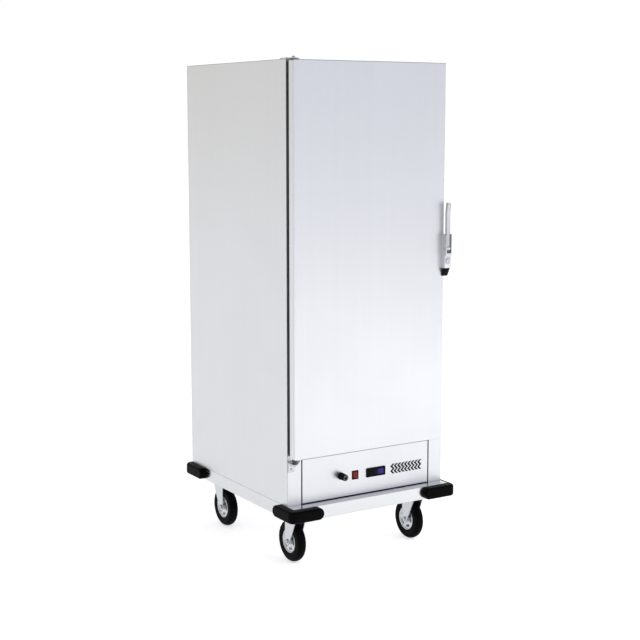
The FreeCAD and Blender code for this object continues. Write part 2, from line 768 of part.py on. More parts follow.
def fan_impeller():
    """Centrifugal wheel with straight blades, on a shaft that reaches down into the motor."""
    low = CAVITY_LOW + 12.0
    centre = point(FAN_X, CAVITY_MID, low)
    plate = rod(centre, Z, FAN_R, 1.5)
    hub = rod(centre, Z, 18.0, FAN_HEIGHT - 8)
    blades = []
    for step in range(FAN_BLADES):
        blade = box(FAN_X + 44, FAN_X + FAN_R - 1, CAVITY_MID - 0.8, CAVITY_MID + 0.8, low, low + FAN_HEIGHT)
        blade.rotate(point(FAN_X + 44, CAVITY_MID, low), Z, 30)
        blade = blade.common(rod(centre, Z, FAN_R, FAN_HEIGHT))
        blade.rotate(centre, Z, step * 360 / FAN_BLADES)
        blades.append(blade)
    shaft_low = BAY_HIGH - MOTOR_HEIGHT + 12
    shaft = rod(point(FAN_X, CAVITY_MID, shaft_low), Z, SHAFT_R, low - shaft_low)
    return fused([plate, hub, shaft] + blades)


def fan_motor():
    """Round motor hung under the bay ceiling, bored for the fan's shaft."""
    body = rod(point(FAN_X, CAVITY_MID, BAY_HIGH - MOTOR_HEIGHT), Z, MOTOR_R, MOTOR_HEIGHT)
    flange = rod(point(FAN_X, CAVITY_MID, BAY_HIGH - 4), Z, MOTOR_R + 9, 4)
    bore = rod(point(FAN_X, CAVITY_MID, BAY_HIGH - MOTOR_HEIGHT + 10), Z, SHAFT_R + RUNNING, MOTOR_HEIGHT)
    return fused([body, flange]).cut(bore)


# ---------------------------------------------------------------- control panel

def zigzag_slot(x):
    """One vent: a slot of constant width that zigzags down the panel."""
    half = VENT_SLOT / 2
    rise = VENT_HEIGHT / VENT_LEGS
    lean = math.atan2(2 * VENT_SWING, rise)
    across = half / math.cos(lean)
    top = DECK + CONTROL_Z + VENT_HEIGHT / 2
    left = []
    right = []
    for step in range(VENT_LEGS + 1):
        swing = VENT_SWING if step % 2 == 0 else -VENT_SWING
        z = top - step * rise
        left.append(point(x + swing - across, FRONT - 1, z))
        right.append(point(x + swing + across, FRONT - 1, z))
    return prism(left + right[::-1], Y * (OUTER_SHEET + 2))


def control_panel():
    """Removable front of the machine bay, with side returns, cut-outs and vents."""
    t = OUTER_SHEET
    edge = SIDE - POST_WIDTH - POST_SLOT
    low = DECK + PANEL_SLOT
    high = BAY_HIGH - PANEL_SLOT
    pieces = [box(-edge, edge, FRONT, FRONT + t, low, high)]
    for x in (-edge, edge - t):
        pieces.append(box(x, x + t, FRONT, FRONT + t + PANEL_RETURN, low, high))
    panel = fused(pieces)
    middle = (VENT_COUNT - 1) / 2
    cuts = [zigzag_slot(VENT_X + (step - middle) * VENT_PITCH) for step in range(VENT_COUNT)]
    cuts.append(rod(point(KNOB_X, FRONT - 1, DECK + KNOB_Z), Y, SPINDLE_R + 2, t + 2))
    cuts.append(rocker_body(CUT_CLEARANCE))
    cuts.append(display_body(CUT_CLEARANCE))
    return panel.cut(Part.makeCompound(cuts))


def thermostat():
    """Thermostat behind the panel, bored for the knob's spindle."""
    start = point(KNOB_X, FRONT + OUTER_SHEET, DECK + KNOB_Z)
    neck = rod(start, Y, SPINDLE_R + 5, 4)
    body = rod(start + Y * 4, Y, THERMOSTAT_R, THERMOSTAT_DEPTH - 4)
    bore = rod(start - Y, Y, SPINDLE_R + RUNNING, SPINDLE_LENGTH + 2)
    return fused([neck, body]).cut(bore)


def control_knob():
    """Tapered knob on its spindle."""
    start = point(KNOB_X, FRONT - FACE_GAP, DECK + KNOB_Z)
    length = KNOB_LENGTH - FACE_GAP
    knob = turned(
        [(0, 0), (0, KNOB_R), (-4, KNOB_R), (-7, KNOB_R - 1.2), (-length + 2, KNOB_FACE_R),
         (-length, KNOB_FACE_R - 1.5), (-length, 0)],
        start, Y,
    )
    return fused([knob, rod(start, Y, SPINDLE_R, SPINDLE_LENGTH)])


def rocker_body(extra):
    """Switch body that passes through the panel."""
    half_x = ROCKER_WIDTH / 2 - 2 + extra
    half_z = ROCKER_HEIGHT / 2 - 2 + extra
    z = DECK + CONTROL_Z
    return box(
        ROCKER_X - half_x, ROCKER_X + half_x, FRONT - 1, FRONT + 26,
        z - half_z, z + half_z,
    )


def rocker_housing():
    """Switch bezel and body with the pocket that the paddle rocks in."""
    z = DECK + CONTROL_Z
    half_x = ROCKER_WIDTH / 2
    half_z = ROCKER_HEIGHT / 2
    bezel = box(ROCKER_X - half_x, ROCKER_X + half_x, FRONT - 2.5, FRONT, z - half_z, z + half_z)
    pocket = box(
        ROCKER_X - half_x + ROCKER_RIM, ROCKER_X + half_x - ROCKER_RIM,
        FRONT - 5, FRONT + 12,
        z - half_z + ROCKER_RIM, z + half_z - ROCKER_RIM,
    )
    return fused([bezel, rocker_body(0)]).cut(pocket)


def rocker_paddle():
    """Shallow V paddle, resting with its top pressed in."""
    z = DECK + CONTROL_Z
    gap = 0.5
    half_x = ROCKER_WIDTH / 2 - ROCKER_RIM - gap
    half_z = ROCKER_HEIGHT / 2 - ROCKER_RIM - 2 * gap
    crest = half_z * math.tan(math.radians(ROCKER_TILT))
    x = ROCKER_X - half_x
    front = FRONT - 2.5
    corners = [
        point(x, front - crest, z - half_z), point(x, front, z), point(x, front - crest, z + half_z),
        point(x, front + 5, z + half_z - 1), point(x, front + 7, z), point(x, front + 5, z - half_z + 1),
    ]
    paddle = prism(corners, X * (2 * half_x))
    paddle.rotate(point(ROCKER_X, front + 3, z), X, -ROCKER_TILT)
    return paddle


def display_body(extra):
    """Controller body that passes through the panel."""
    half_x = DISPLAY_WIDTH / 2 - 4 + extra
    half_z = DISPLAY_HEIGHT / 2 - 3 + extra
    z = DECK + CONTROL_Z
    return box(
        DISPLAY_X - half_x, DISPLAY_X + half_x, FRONT - 1, FRONT + 60,
        z - half_z, z + half_z,
    )


def window_pocket(depth):
    """Recess for the display window, cut back from the bezel's face."""
    z = DECK + CONTROL_Z
    x = DISPLAY_X + WINDOW_SHIFT
    face = FRONT - DISPLAY_PROUD
    return box(
        x - WINDOW_WIDTH / 2, x + WINDOW_WIDTH / 2, face, face + depth,
        z - WINDOW_HEIGHT / 2, z + WINDOW_HEIGHT / 2,
    )


def display_housing():
    """Controller bezel and body."""
    z = DECK + CONTROL_Z
    half_x = DISPLAY_WIDTH / 2
    half_z = DISPLAY_HEIGHT / 2
    bezel = box(DISPLAY_X - half_x, DISPLAY_X + half_x, FRONT - DISPLAY_PROUD, FRONT, z - half_z, z + half_z)
    bezel = bezel.makeFillet(2.0, edges_along(bezel, Y))
    return fused([bezel, display_body(0)]).cut(window_pocket(1.6))


def display_window():
    """Clear lens let into the bezel, its face just below the bezel's."""
    lens = window_pocket(1.6)
    return lens.cut(window_pocket(0.4))


def cord_gland():
    """Gland in the rear panel: flange and dome outside, lock nut inside, bored through."""
    z = DECK + GLAND_Z
    outside = point(GLAND_X, BACK, z)
    inside = point(GLAND_X, BACK - OUTER_SHEET, z)
    flats = 2.6 * GLAND_R
    pieces = [
        rod(inside - Y * 10, Y, GLAND_R, 10 + OUTER_SHEET),
        hexagon(outside, Y, flats, 6),
        Part.makeCone(GLAND_R + 1, GLAND_R - 2, 14, outside + Y * 6, Y),
        hexagon(inside, -Y, flats, 5),
    ]
    return fused(pieces).cut(rod(inside - Y * 12, Y, GLAND_BORE_R, 40))


# ---------------------------------------------------------------- door

def door_block(inset):
    """The door's outer block, shrunk all round by an inset."""
    block = box(
        DOOR_LEFT + inset, DOOR_RIGHT - inset, DOOR_FACE + inset, DOOR_BACK,
        DOOR_LOW + inset, DOOR_HIGH - inset,
    )
    block = block.makeFillet(DOOR_CORNER_R - inset, edges_along(block, Y))
    return block


def bush_holes(radius):
    """Bores for both pivot bushes, through the door's top and bottom edges."""
    return [
        rod(point(PIVOT_X, PIVOT_Y, DOOR_HIGH - BUSH_LENGTH), Z, radius, BUSH_LENGTH + 1),
        rod(point(PIVOT_X, PIVOT_Y, DOOR_LOW - 1), Z, radius, BUSH_LENGTH + 1),
    ]


def door_skin():
    """Outer door pan: face sheet and four folded edges."""
    outer = door_block(0)
    outer = outer.makeFillet(DOOR_EDGE_R - 0.5, edges_at(outer, Y, DOOR_FACE))
    return outer.cut(door_block(OUTER_SHEET)).cut(Part.makeCompound(bush_holes(BUSH_R)))


def door_liner():
    """Inner door pan, with a shallow raised middle inside the seal."""
    t = LINER_SHEET
    plate = door_block(OUTER_SHEET).common(
        box(-SIDE, SIDE, DOOR_BACK - t, DOOR_BACK, DECK, TOP)
    )
    inset = SEAL_INSET + SEAL_WIDTH + 12
    raised = box(
        DOOR_LEFT + inset, DOOR_RIGHT - inset, DOOR_BACK - t, DOOR_BACK + DOOR_PLUG_DEPTH,
        DOOR_LOW + inset, DOOR_HIGH - inset,
    )
    raised = raised.makeFillet(10.0, edges_along(raised, Y))
    dished = box(
        DOOR_LEFT + inset + t, DOOR_RIGHT - inset - t, DOOR_BACK - 2 * t, DOOR_BACK + DOOR_PLUG_DEPTH - t,
        DOOR_LOW + inset + t, DOOR_HIGH - inset - t,
    )
    dished = dished.makeFillet(10.0 - t, edges_along(dished, Y))
    return fused([plate, raised]).cut(dished)


def pivot_blocks():
    """Steel blocks in the hinge-side corners that carry the bushes."""
    t = OUTER_SHEET
    holes = Part.makeCompound(bush_holes(BUSH_R))
    blocks = []
    for low in (DOOR_HIGH - t - BLOCK_HEIGHT, DOOR_LOW + t):
        block = box(
            DOOR_LEFT + t, DOOR_LEFT + t + BLOCK_WIDTH,
            DOOR_FACE + t, DOOR_BACK - LINER_SHEET,
            low, low + BLOCK_HEIGHT,
        )
        blocks.append(block.common(door_block(t)).cut(holes))
    return blocks


def door_insulation():
    """Foam slab between the door's two pans."""
    slab = door_block(OUTER_SHEET).cut(door_liner())
    slab = slab.common(box(-SIDE, SIDE, DOOR_FACE, DOOR_BACK - LINER_SHEET, DECK, TOP))
    return slab.cut(Part.makeCompound(pivot_blocks() + bush_holes(BUSH_R)))


def door_gasket():
    """Seal ring on the door's inner pan, just short of the frame when the door is shut."""
    y1 = FRONT - FACE_GAP
    outer = SEAL_INSET
    inner = SEAL_INSET + SEAL_WIDTH
    ring = box(DOOR_LEFT + outer, DOOR_RIGHT - outer, DOOR_BACK, y1, DOOR_LOW + outer, DOOR_HIGH - outer)
    ring = ring.makeFillet(4.0, edges_along(ring, Y))
    room = box(
        DOOR_LEFT + inner, DOOR_RIGHT - inner, DOOR_BACK - 1, y1 + 1, DOOR_LOW + inner, DOOR_HIGH - inner
    )
    return ring.cut(room)


def pivot_bushes():
    """Bronze bushes, each with the collar that spaces the door from its bracket arm."""
    bushes = []
    collar_r = PIVOT_INSET - 1
    top_collar = DOOR_TOP_GAP - FACE_GAP
    low_collar = LOWER_ARM_DROP - FACE_GAP
    top = fused([
        rod(point(PIVOT_X, PIVOT_Y, DOOR_HIGH - BUSH_LENGTH), Z, BUSH_R, BUSH_LENGTH),
        rod(point(PIVOT_X, PIVOT_Y, DOOR_HIGH), Z, collar_r, top_collar),
    ])
    low = fused([
        rod(point(PIVOT_X, PIVOT_Y, DOOR_LOW), Z, BUSH_R, BUSH_LENGTH),
        rod(point(PIVOT_X, PIVOT_Y, DOOR_LOW - low_collar), Z, collar_r, low_collar),
    ])
    for bush in (top, low):
        bore = rod(point(PIVOT_X, PIVOT_Y, DECK), Z, PIN_R + RUNNING, BODY_HEIGHT + 20)
        bushes.append(bush.cut(bore))
    return bushes


# ---------------------------------------------------------------- hinge brackets

def bracket_arm(low):
    """Triangular arm that reaches forward from the body to the pivot."""
    left = -SIDE
    nose = PIVOT_INSET
    corners = [
        point(left, FRONT, low), point(left + BRACKET_REACH, FRONT, low),
        point(PIVOT_X + nose * 0.7, PIVOT_Y - nose * 0.7, low), point(PIVOT_X - nose, PIVOT_Y, low),
    ]
    wedge = prism(corners, Z * BRACKET_T)
    tip = rod(point(PIVOT_X, PIVOT_Y, low), Z, nose, BRACKET_T)
    return fused([wedge, tip])


def pin_hole():
    return rod(point(PIVOT_X, PIVOT_Y, DECK), Z, PIN_R, BODY_HEIGHT + 20)


def hinge_bracket_top():
    """Plate screwed to the lid, with its arm over the door's top corner."""
    seat = box(-SIDE, -SIDE + BRACKET_REACH, FRONT, FRONT + BRACKET_DEPTH, TOP, TOP + BRACKET_T)
    bracket = fused([seat, bracket_arm(TOP)])
    return bracket.cut(Part.makeCompound([pin_hole()] + frame_screw_shanks()))


def lower_arm_high():
    return DOOR_LOW - LOWER_ARM_DROP


def hinge_bracket_bottom():
    """Angle screwed to the left post, with its arm under the door's bottom corner."""
    high = lower_arm_high()
    flange = box(
        -SIDE + 2, -SIDE + 2 + LOWER_FLANGE_WIDTH, FRONT - LOWER_FLANGE_T, FRONT,
        high - LOWER_FLANGE_HEIGHT, high,
    )
    bracket = fused([flange, bracket_arm(high - BRACKET_T)])
    return bracket.cut(Part.makeCompound([pin_hole()] + frame_screw_shanks()))


def hinge_pins():
    """Headed pins, pressed into the arms and running in the bushes."""
    reach = BUSH_LENGTH - 3
    top_from = DOOR_HIGH - reach
    top_high = TOP + BRACKET_T
    top = fused([
        rod(point(PIVOT_X, PIVOT_Y, top_from), Z, PIN_R, top_high - top_from),
        Part.makeCone(PIN_HEAD_R, PIN_HEAD_R - 2.5, PIN_HEAD_T, point(PIVOT_X, PIVOT_Y, top_high), Z),
    ])
    low_from = lower_arm_high() - BRACKET_T
    low = fused([
        rod(point(PIVOT_X, PIVOT_Y, low_from), Z, PIN_R, DOOR_LOW + reach - low_from),
        Part.makeCone(PIN_HEAD_R, PIN_HEAD_R - 2.5, PIN_HEAD_T, point(PIVOT_X, PIVOT_Y, low_from), -Z),
    ])
    return [top, low]


def frame_screw_places():
    """Seat and outward direction of every screw in the hinge brackets and the keeper."""
    top_y = FRONT + BRACKET_DEPTH / 2
    lower_x = -SIDE + 15
    low_z = lower_arm_high() - LOWER_FLANGE_HEIGHT
    keeper_z = TONGUE_LOW + TONGUE_HEIGHT / 2
    return [
        (point(-SIDE + 15, top_y, TOP + BRACKET_T), Z),
        (point(-SIDE + BRACKET_REACH - 12, top_y, TOP + BRACKET_T), Z),
        (point(lower_x, FRONT - LOWER_FLANGE_T, low_z + 11), -Y),
        (point(lower_x, FRONT - LOWER_FLANGE_T, low_z + 27), -Y),
        (point(KEEPER_SCREW_X, FRONT - KEEPER_T, keeper_z - KEEPER_HEIGHT / 4), -Y),
        (point(KEEPER_SCREW_X, FRONT - KEEPER_T, keeper_z + KEEPER_HEIGHT / 4), -Y),
    ]


def frame_screw_shanks():
    return [rod(seat, -out, 2.5, 14.0) for seat, out in frame_screw_places()]


def frame_screws():
    """Pan-head screws."""
    screws = []
    for (seat, out), shank in zip(frame_screw_places(), frame_screw_shanks()):
        head = Part.makeCone(4.8, 3.2, 2.4, seat, out)
        screws.append(fused([head, shank]))
    return screws


# ---------------------------------------------------------------- latch

def latch_housing():
    """Clevis for the lever above a lock box, wrapped round the door's edge."""
    face = DOOR_FACE
    top = DECK + LATCH_TOP
    step = DECK + LATCH_STEP
    low = DECK + LATCH_LOW
    room_left = LATCH_LEFT + LATCH_CHEEK
    room_right = LATCH_RIGHT - LATCH_CHEEK
    upper = box(LATCH_LEFT, LATCH_RIGHT, face - LATCH_PROUD, face, step, top)
    lower = box(LATCH_LEFT, LATCH_RIGHT, face - LATCH_LOW_PROUD, face, low, step)
    wrap = box(DOOR_RIGHT, LATCH_RIGHT, face, face + DOOR_THICKNESS - 7, low, step - 4)
    boss = rod(point(LOCK_X, face - LATCH_LOW_PROUD - 1.5, DECK + LOCK_Z), Y, LOCK_BOSS_R, 3)
    housing = fused([upper, lower, wrap, boss])
    housing = housing.makeFillet(2.0, latch_rim_edges(housing))
    clevis = box(
        room_left, room_right, face - LATCH_PROUD - 1, face - LATCH_BACK_T,
        step + LATCH_FLOOR_T, top + 1,
    )
    window = box(
        DOOR_RIGHT, TONGUE_RIGHT + 2, face - LATCH_PROUD - 1, face + 1,
        step + LATCH_FLOOR_T, top + 1,
    )
    cam_room = box(
        LOCK_X - LOCK_CAM - 2, LOCK_X + LOCK_CAM + 1.5, face - LATCH_LOW_PROUD + 4, face - LATCH_BACK_T,
        DECK + LOCK_Z - LOCK_CAM - 2, DECK + LOCK_Z + LOCK_CAM + 2,
    )
    lock_bore = rod(
        point(LOCK_X, face - LATCH_LOW_PROUD - 5, DECK + LOCK_Z), Y, LOCK_R + RUNNING, 10
    )
    pin = rod(point(LATCH_LEFT - 1, LEVER_Y, LEVER_Z), X, LEVER_PIN_R, LATCH_WIDTH + 2)
    return housing.cut(Part.makeCompound([clevis, window, cam_room])).cut(lock_bore).cut(pin)


def latch_rim_edges(housing):
    """Front upright edges of the clevis, softened where a hand meets them."""
    found = []
    for edge in edges_along(housing, Z):
        if abs(edge.Vertexes[0].Y - (DOOR_FACE - LATCH_PROUD)) < 1e-4:
            found.append(edge)
    return found


def latch_foot():
    """Black wedge that fairs the lock box into the door."""
    inset = 2.0
    high = DECK + LATCH_LOW
    low = high - LATCH_FOOT
    x = LATCH_LEFT + inset
    corners = [
        point(x, DOOR_FACE, high), point(x, DOOR_FACE - LATCH_LOW_PROUD + 1, high),
        point(x, DOOR_FACE - 4, low), point(x, DOOR_FACE, low),
    ]
    return prism(corners, X * (LATCH_WIDTH - 2 * inset))


def latch_pin():
    """Pivot pin across the clevis."""
    return rod(point(LATCH_LEFT, LEVER_Y, LEVER_Z), X, LEVER_PIN_R, LATCH_WIDTH)


def latch_lever():
    """Upright lever, flared at its top, with the tongue that goes into the keeper."""
    x = LATCH_MID - LEVER_WIDTH / 2
    front = LEVER_Y - LEVER_T / 2
    back = LEVER_Y + LEVER_T / 2
    top = DECK + LEVER_TOP
    bend = top - LEVER_FLARE_LENGTH
    corners = [
        point(x, back, LEVER_Z), point(x, back, bend), point(x, back - LEVER_FLARE, top),
        point(x, front - LEVER_FLARE, top - 2), point(x, front, bend - 2), point(x, front, LEVER_Z),
    ]
    bar = prism(corners, X * LEVER_WIDTH)
    boss = rod(point(x, LEVER_Y, LEVER_Z), X, LEVER_BOSS_R, LEVER_WIDTH)
    tip_r = TONGUE_HEIGHT / 2
    tip_y = FRONT - TONGUE_TIP_GAP - tip_r
    tongue = box(TONGUE_LEFT, TONGUE_RIGHT, LEVER_Y, tip_y, TONGUE_LOW, TONGUE_LOW + TONGUE_HEIGHT)
    tip = rod(point(TONGUE_LEFT, tip_y, TONGUE_LOW + tip_r), X, tip_r, TONGUE_WIDTH)
    lever = fused([bar, boss, tongue, tip])
    return lever.cut(rod(point(x - 1, LEVER_Y, LEVER_Z), X, LEVER_PIN_R + RUNNING, LEVER_WIDTH + 2))


def latch_keeper():
    """Spring clip on the frame that takes the lever's tongue, open to the front and top."""
    left = TONGUE_LEFT - KEEPER_T - 0.8
    right = TONGUE_RIGHT + 1.5
    low = TONGUE_LOW + TONGUE_HEIGHT / 2 - KEEPER_HEIGHT / 2
    high = low + KEEPER_HEIGHT
    base = box(left, SIDE - 2, FRONT - KEEPER_T, FRONT, low, high)
    cheeks = [
        box(x, x + KEEPER_T, FRONT - KEEPER_CHEEK, FRONT, low + 15, high - 15)
        for x in (left, right)
    ]
    return fused([base] + cheeks).cut(Part.makeCompound(frame_screw_shanks()))


def lock_plug():
    """Lock plug with a key slot in front and a cam behind."""
    start = point(LOCK_X, DOOR_FACE - LATCH_LOW_PROUD - 2.2, DECK + LOCK_Z)
    depth = 10.2
    plug = rod(start, Y, LOCK_R, depth)
    cam = box(
        LOCK_X - 4.5, LOCK_X + 4.5, start.y + depth, start.y + depth + 2,
        start.z - 4.5, start.z + LOCK_CAM - 0.5,
    )
    slot = box(LOCK_X - 0.9, LOCK_X + 0.9, start.y - 1, start.y + 4, start.z - 4, start.z + 4)
    return fused([plug, cam]).cut(slot)


# ---------------------------------------------------------------- build

def main():
    os.makedirs("parts", exist_ok=True)
    save("chassis_tray", chassis_tray())
    for place, right, rear in (
        ("front_left", False, False), ("front_right", True, False),
        ("rear_left", False, True), ("rear_right", True, True),
    ):
        save("bumper_" + place, corner_bumper(right, rear))
    save("castor_plates", [castor_plate(x, y) for _, x, y, _ in CASTORS])
    save("castor_bolts", castor_bolts())
    for place, x, y, trail_sign in CASTORS:
        axle_y = y + trail_sign * CASTOR_TRAIL
        save("castor_" + place + "_fork", castor_fork(x, y, trail_sign))
        save("castor_" + place + "_axle", castor_axle(x, axle_y))
        save("castor_" + place + "_rim", castor_rim(x, axle_y))
        save("castor_" + place + "_tyre", castor_tyre(x, axle_y))
    save("side_panel_left", side_panel(True))
    save("side_panel_right", side_panel(False))
    save("top_panel", top_panel())
    save("back_panel", back_panel())
    save("front_frame", front_frame())
    save("bay_frame", [bay_post(-1), bay_post(1), bay_ceiling()])
    save("body_insulation", body_insulation())
    save("cavity_liner", cavity_liner())
    save("tray_racks", tray_racks())
    save("floor_grille", floor_grille())
    save("water_pan", water_pan())
    save("air_heater", air_heater())
    save("fan_impeller", fan_impeller())
    save("fan_motor", fan_motor())
    save("control_panel", control_panel())
    save("thermostat", thermostat())
    save("control_knob", control_knob())
    save("rocker_housing", rocker_housing())
    save("rocker_paddle", rocker_paddle())
    save("display_housing", display_housing())
    save("display_window", display_window())
    save("cord_gland", cord_gland())
    save("door_skin", door_skin())
    save("door_liner", door_liner())
    save("door_insulation", door_insulation())
    save("door_gasket", door_gasket())
    save("pivot_blocks", pivot_blocks())
    save("pivot_bushes", pivot_bushes())
    save("hinge_brackets", [hinge_bracket_top(), hinge_bracket_bottom()])
    save("hinge_pins", hinge_pins())
    save("frame_screws", frame_screws())
    save("latch_housing", latch_housing())
    save("latch_foot", latch_foot())
    save("latch_pin", latch_pin())
    save("latch_lever", latch_lever())
    save("latch_keeper", latch_keeper())
    save("lock_plug", lock_plug())


main()
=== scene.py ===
"""Looks of a mobile insulated proofing cabinet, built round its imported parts. Metres throughout."""
import json
import logging
import math
from collections.abc import Sequence
from dataclasses import dataclass, field
from enum import Enum

import bmesh
import bpy
from mathutils import Matrix, Vector


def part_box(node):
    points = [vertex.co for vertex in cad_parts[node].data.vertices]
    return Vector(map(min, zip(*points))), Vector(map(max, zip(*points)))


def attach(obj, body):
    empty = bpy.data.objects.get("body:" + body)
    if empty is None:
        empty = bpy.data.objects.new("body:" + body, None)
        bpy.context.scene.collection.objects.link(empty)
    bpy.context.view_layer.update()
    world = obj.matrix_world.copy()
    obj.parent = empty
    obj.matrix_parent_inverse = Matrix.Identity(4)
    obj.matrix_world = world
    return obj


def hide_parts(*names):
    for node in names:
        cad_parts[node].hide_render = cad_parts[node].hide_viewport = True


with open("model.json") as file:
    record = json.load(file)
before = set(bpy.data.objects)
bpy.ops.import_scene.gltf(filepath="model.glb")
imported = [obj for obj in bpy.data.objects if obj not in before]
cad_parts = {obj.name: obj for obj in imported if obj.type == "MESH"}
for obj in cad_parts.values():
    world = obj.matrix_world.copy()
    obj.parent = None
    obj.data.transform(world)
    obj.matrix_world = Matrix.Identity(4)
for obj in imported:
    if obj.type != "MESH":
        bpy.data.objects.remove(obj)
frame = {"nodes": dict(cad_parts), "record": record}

log = logging.getLogger("proofing_cabinet")
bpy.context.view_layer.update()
Colour = tuple[float, float, float]
Profile = Sequence[tuple[float, float]]

# The way out of the front, and the way across.
OUTWARD = Vector((0, -1, 0))
ACROSS = Vector((1, 0, 0))

# Mesh limits: radii taken as on the axis, vertices merged, folds taken as flat and as sharp.
ON_AXIS = 1e-7
MERGE_WITHIN = 1e-6
FLAT_BELOW = math.radians(1.0)
SHARP_ABOVE = math.radians(40)
ROUND_PROFILE = 0.5

# Shares of the controller window's width between which its light comes up.
WINDOW_DARK_TO = 0.30
WINDOW_LIT_FROM = 0.50


class Corner(Enum):
    """The four castor and bumper corners, by the name their parts carry."""

    FRONT_LEFT = "front_left"
    FRONT_RIGHT = "front_right"
    REAR_LEFT = "rear_left"
    REAR_RIGHT = "rear_right"


class Grain(Enum):
    """Which way a sheet's polishing lines run, as noise scale per metre along X, Y and Z."""

    UPRIGHT = (620.0, 620.0, 5.0)
    ACROSS = (5.0, 620.0, 620.0)
    TUMBLED = (900.0, 900.0, 900.0)


# ---------------------------------------------------------------- shared surface effects


@dataclass
class Effect:
    """A shader node group that several finishes share."""

    name: str
    inputs: dict[str, float]
    outputs: dict[str, str]
    tree: bpy.types.NodeTree = field(init=False)
    source: bpy.types.Node = field(init=False)
    sink: bpy.types.Node = field(init=False)

    def __post_init__(self) -> None:
        """Makes the empty group with its named sockets."""
        self.tree = bpy.data.node_groups.new(self.name, "ShaderNodeTree")
        for label, value in self.inputs.items():
            socket = self.tree.interface.new_socket(label, in_out="INPUT", socket_type="NodeSocketFloat")
            socket.default_value = value
        for label, kind in self.outputs.items():
            self.tree.interface.new_socket(label, in_out="OUTPUT", socket_type=kind)
        self.source = self.tree.nodes.new("NodeGroupInput")
        self.sink = self.tree.nodes.new("NodeGroupOutput")

    def node(self, kind: str, **settings: object) -> bpy.types.Node:
        """Adds a node.

        Args:
            kind: the node's Blender type.
            settings: attributes to set on it.

        Returns:
            The new node.
        """
        return add_node(self.tree, kind, **settings)

    def link(self, start: bpy.types.NodeSocket, end: bpy.types.NodeSocket) -> None:
        """Joins two sockets."""
        self.tree.links.new(start, end)

    def noise(
        self, vector: bpy.types.NodeSocket, scale: float, detail: float, rough: float
    ) -> bpy.types.NodeSocket:
        """Adds a noise texture.

        Args:
            vector: where it is read.
            scale: its scale.
            detail: its octaves.
            rough: how strong the fine octaves are.

        Returns:
            Its value output.
        """
        texture = self.node("ShaderNodeTexNoise")
        texture.inputs["Scale"].default_value = scale
        texture.inputs["Detail"].default_value = detail
        texture.inputs["Roughness"].default_value = rough
        self.link(vector, texture.inputs["Vector"])
        return texture.outputs["Fac"]

    def maths(self, operation: str, first: object, second: object) -> bpy.types.NodeSocket:
        """Adds a maths node.

        Args:
            operation: its Blender operation name.
            first: a socket or a number.
            second: a socket or a number.

        Returns:
            Its value output.
        """
        node = self.node("ShaderNodeMath", operation=operation)
        for socket, value in zip(node.inputs, (first, second)):
            if isinstance(value, bpy.types.NodeSocket):
                self.link(value, socket)
            else:
                socket.default_value = value
        return node.outputs[0]


def add_node(tree: bpy.types.NodeTree, kind: str, **settings: object) -> bpy.types.Node:
    """Adds a node to any tree.

    Args:
        tree: the tree.
        kind: the node's Blender type.
        settings: attributes to set on it.

    Returns:
        The new node.
    """
    node = tree.nodes.new(kind)
    for label, value in settings.items():
        setattr(node, label, value)
    return node


def polishing_lines() -> Effect:
    """Fine lines that polishing leaves in sheet, with broader streaks behind them.

    Returns:
        The group: its inputs stretch the lines along each axis, its outputs are a tone and a height.
    """
    effect = Effect(
        "PolishingLines",
        {"Along X": 600.0, "Along Y": 600.0, "Along Z": 6.0},
        {"Tone": "NodeSocketFloat", "Height": "NodeSocketFloat"},
    )
    place = effect.node("ShaderNodeTexCoord").outputs["Object"]
    stretch = effect.node("ShaderNodeCombineXYZ")
    for axis in "XYZ":
        effect.link(effect.source.outputs["Along " + axis], stretch.inputs[axis])
    scaled = effect.node("ShaderNodeVectorMath", operation="MULTIPLY")
    effect.link(place, scaled.inputs[0])
    effect.link(stretch.outputs[0], scaled.inputs[1])
    fine = effect.noise(scaled.outputs[0], scale=1.0, detail=3.0, rough=0.6)
    broad = effect.noise(scaled.outputs[0], scale=0.06, detail=2.0, rough=0.5)
    fine_share = 0.6
    tone = effect.maths(
        "ADD", effect.maths("MULTIPLY", fine, fine_share), effect.maths("MULTIPLY", broad, 1 - fine_share)
    )
    effect.link(tone, effect.sink.inputs["Tone"])
    effect.link(fine, effect.sink.inputs["Height"])
    return effect


def handling_marks() -> Effect:
    """Wiped, slightly duller patches that handling leaves.

    Returns:
        The group: its inputs are the patches' scale and cover, its output a mask.
    """
    effect = Effect("HandlingMarks", {"Scale": 3.0, "Cover": 0.45}, {"Mask": "NodeSocketFloat"})
    place = effect.node("ShaderNodeTexCoord").outputs["Object"]
    patches = effect.node("ShaderNodeTexNoise")
    patches.inputs["Detail"].default_value = 5.0
    patches.inputs["Roughness"].default_value = 0.55
    patches.inputs["Distortion"].default_value = 0.8
    effect.link(place, patches.inputs["Vector"])
    effect.link(effect.source.outputs["Scale"], patches.inputs["Scale"])
    over = effect.maths("SUBTRACT", patches.outputs["Fac"], effect.source.outputs["Cover"])
    mask = effect.node("ShaderNodeMath", operation="MULTIPLY", use_clamp=True)
    effect.link(over, mask.inputs[0])
    sharpness = 4.0
    mask.inputs[1].default_value = sharpness
    effect.link(mask.outputs[0], effect.sink.inputs["Mask"])
    return effect


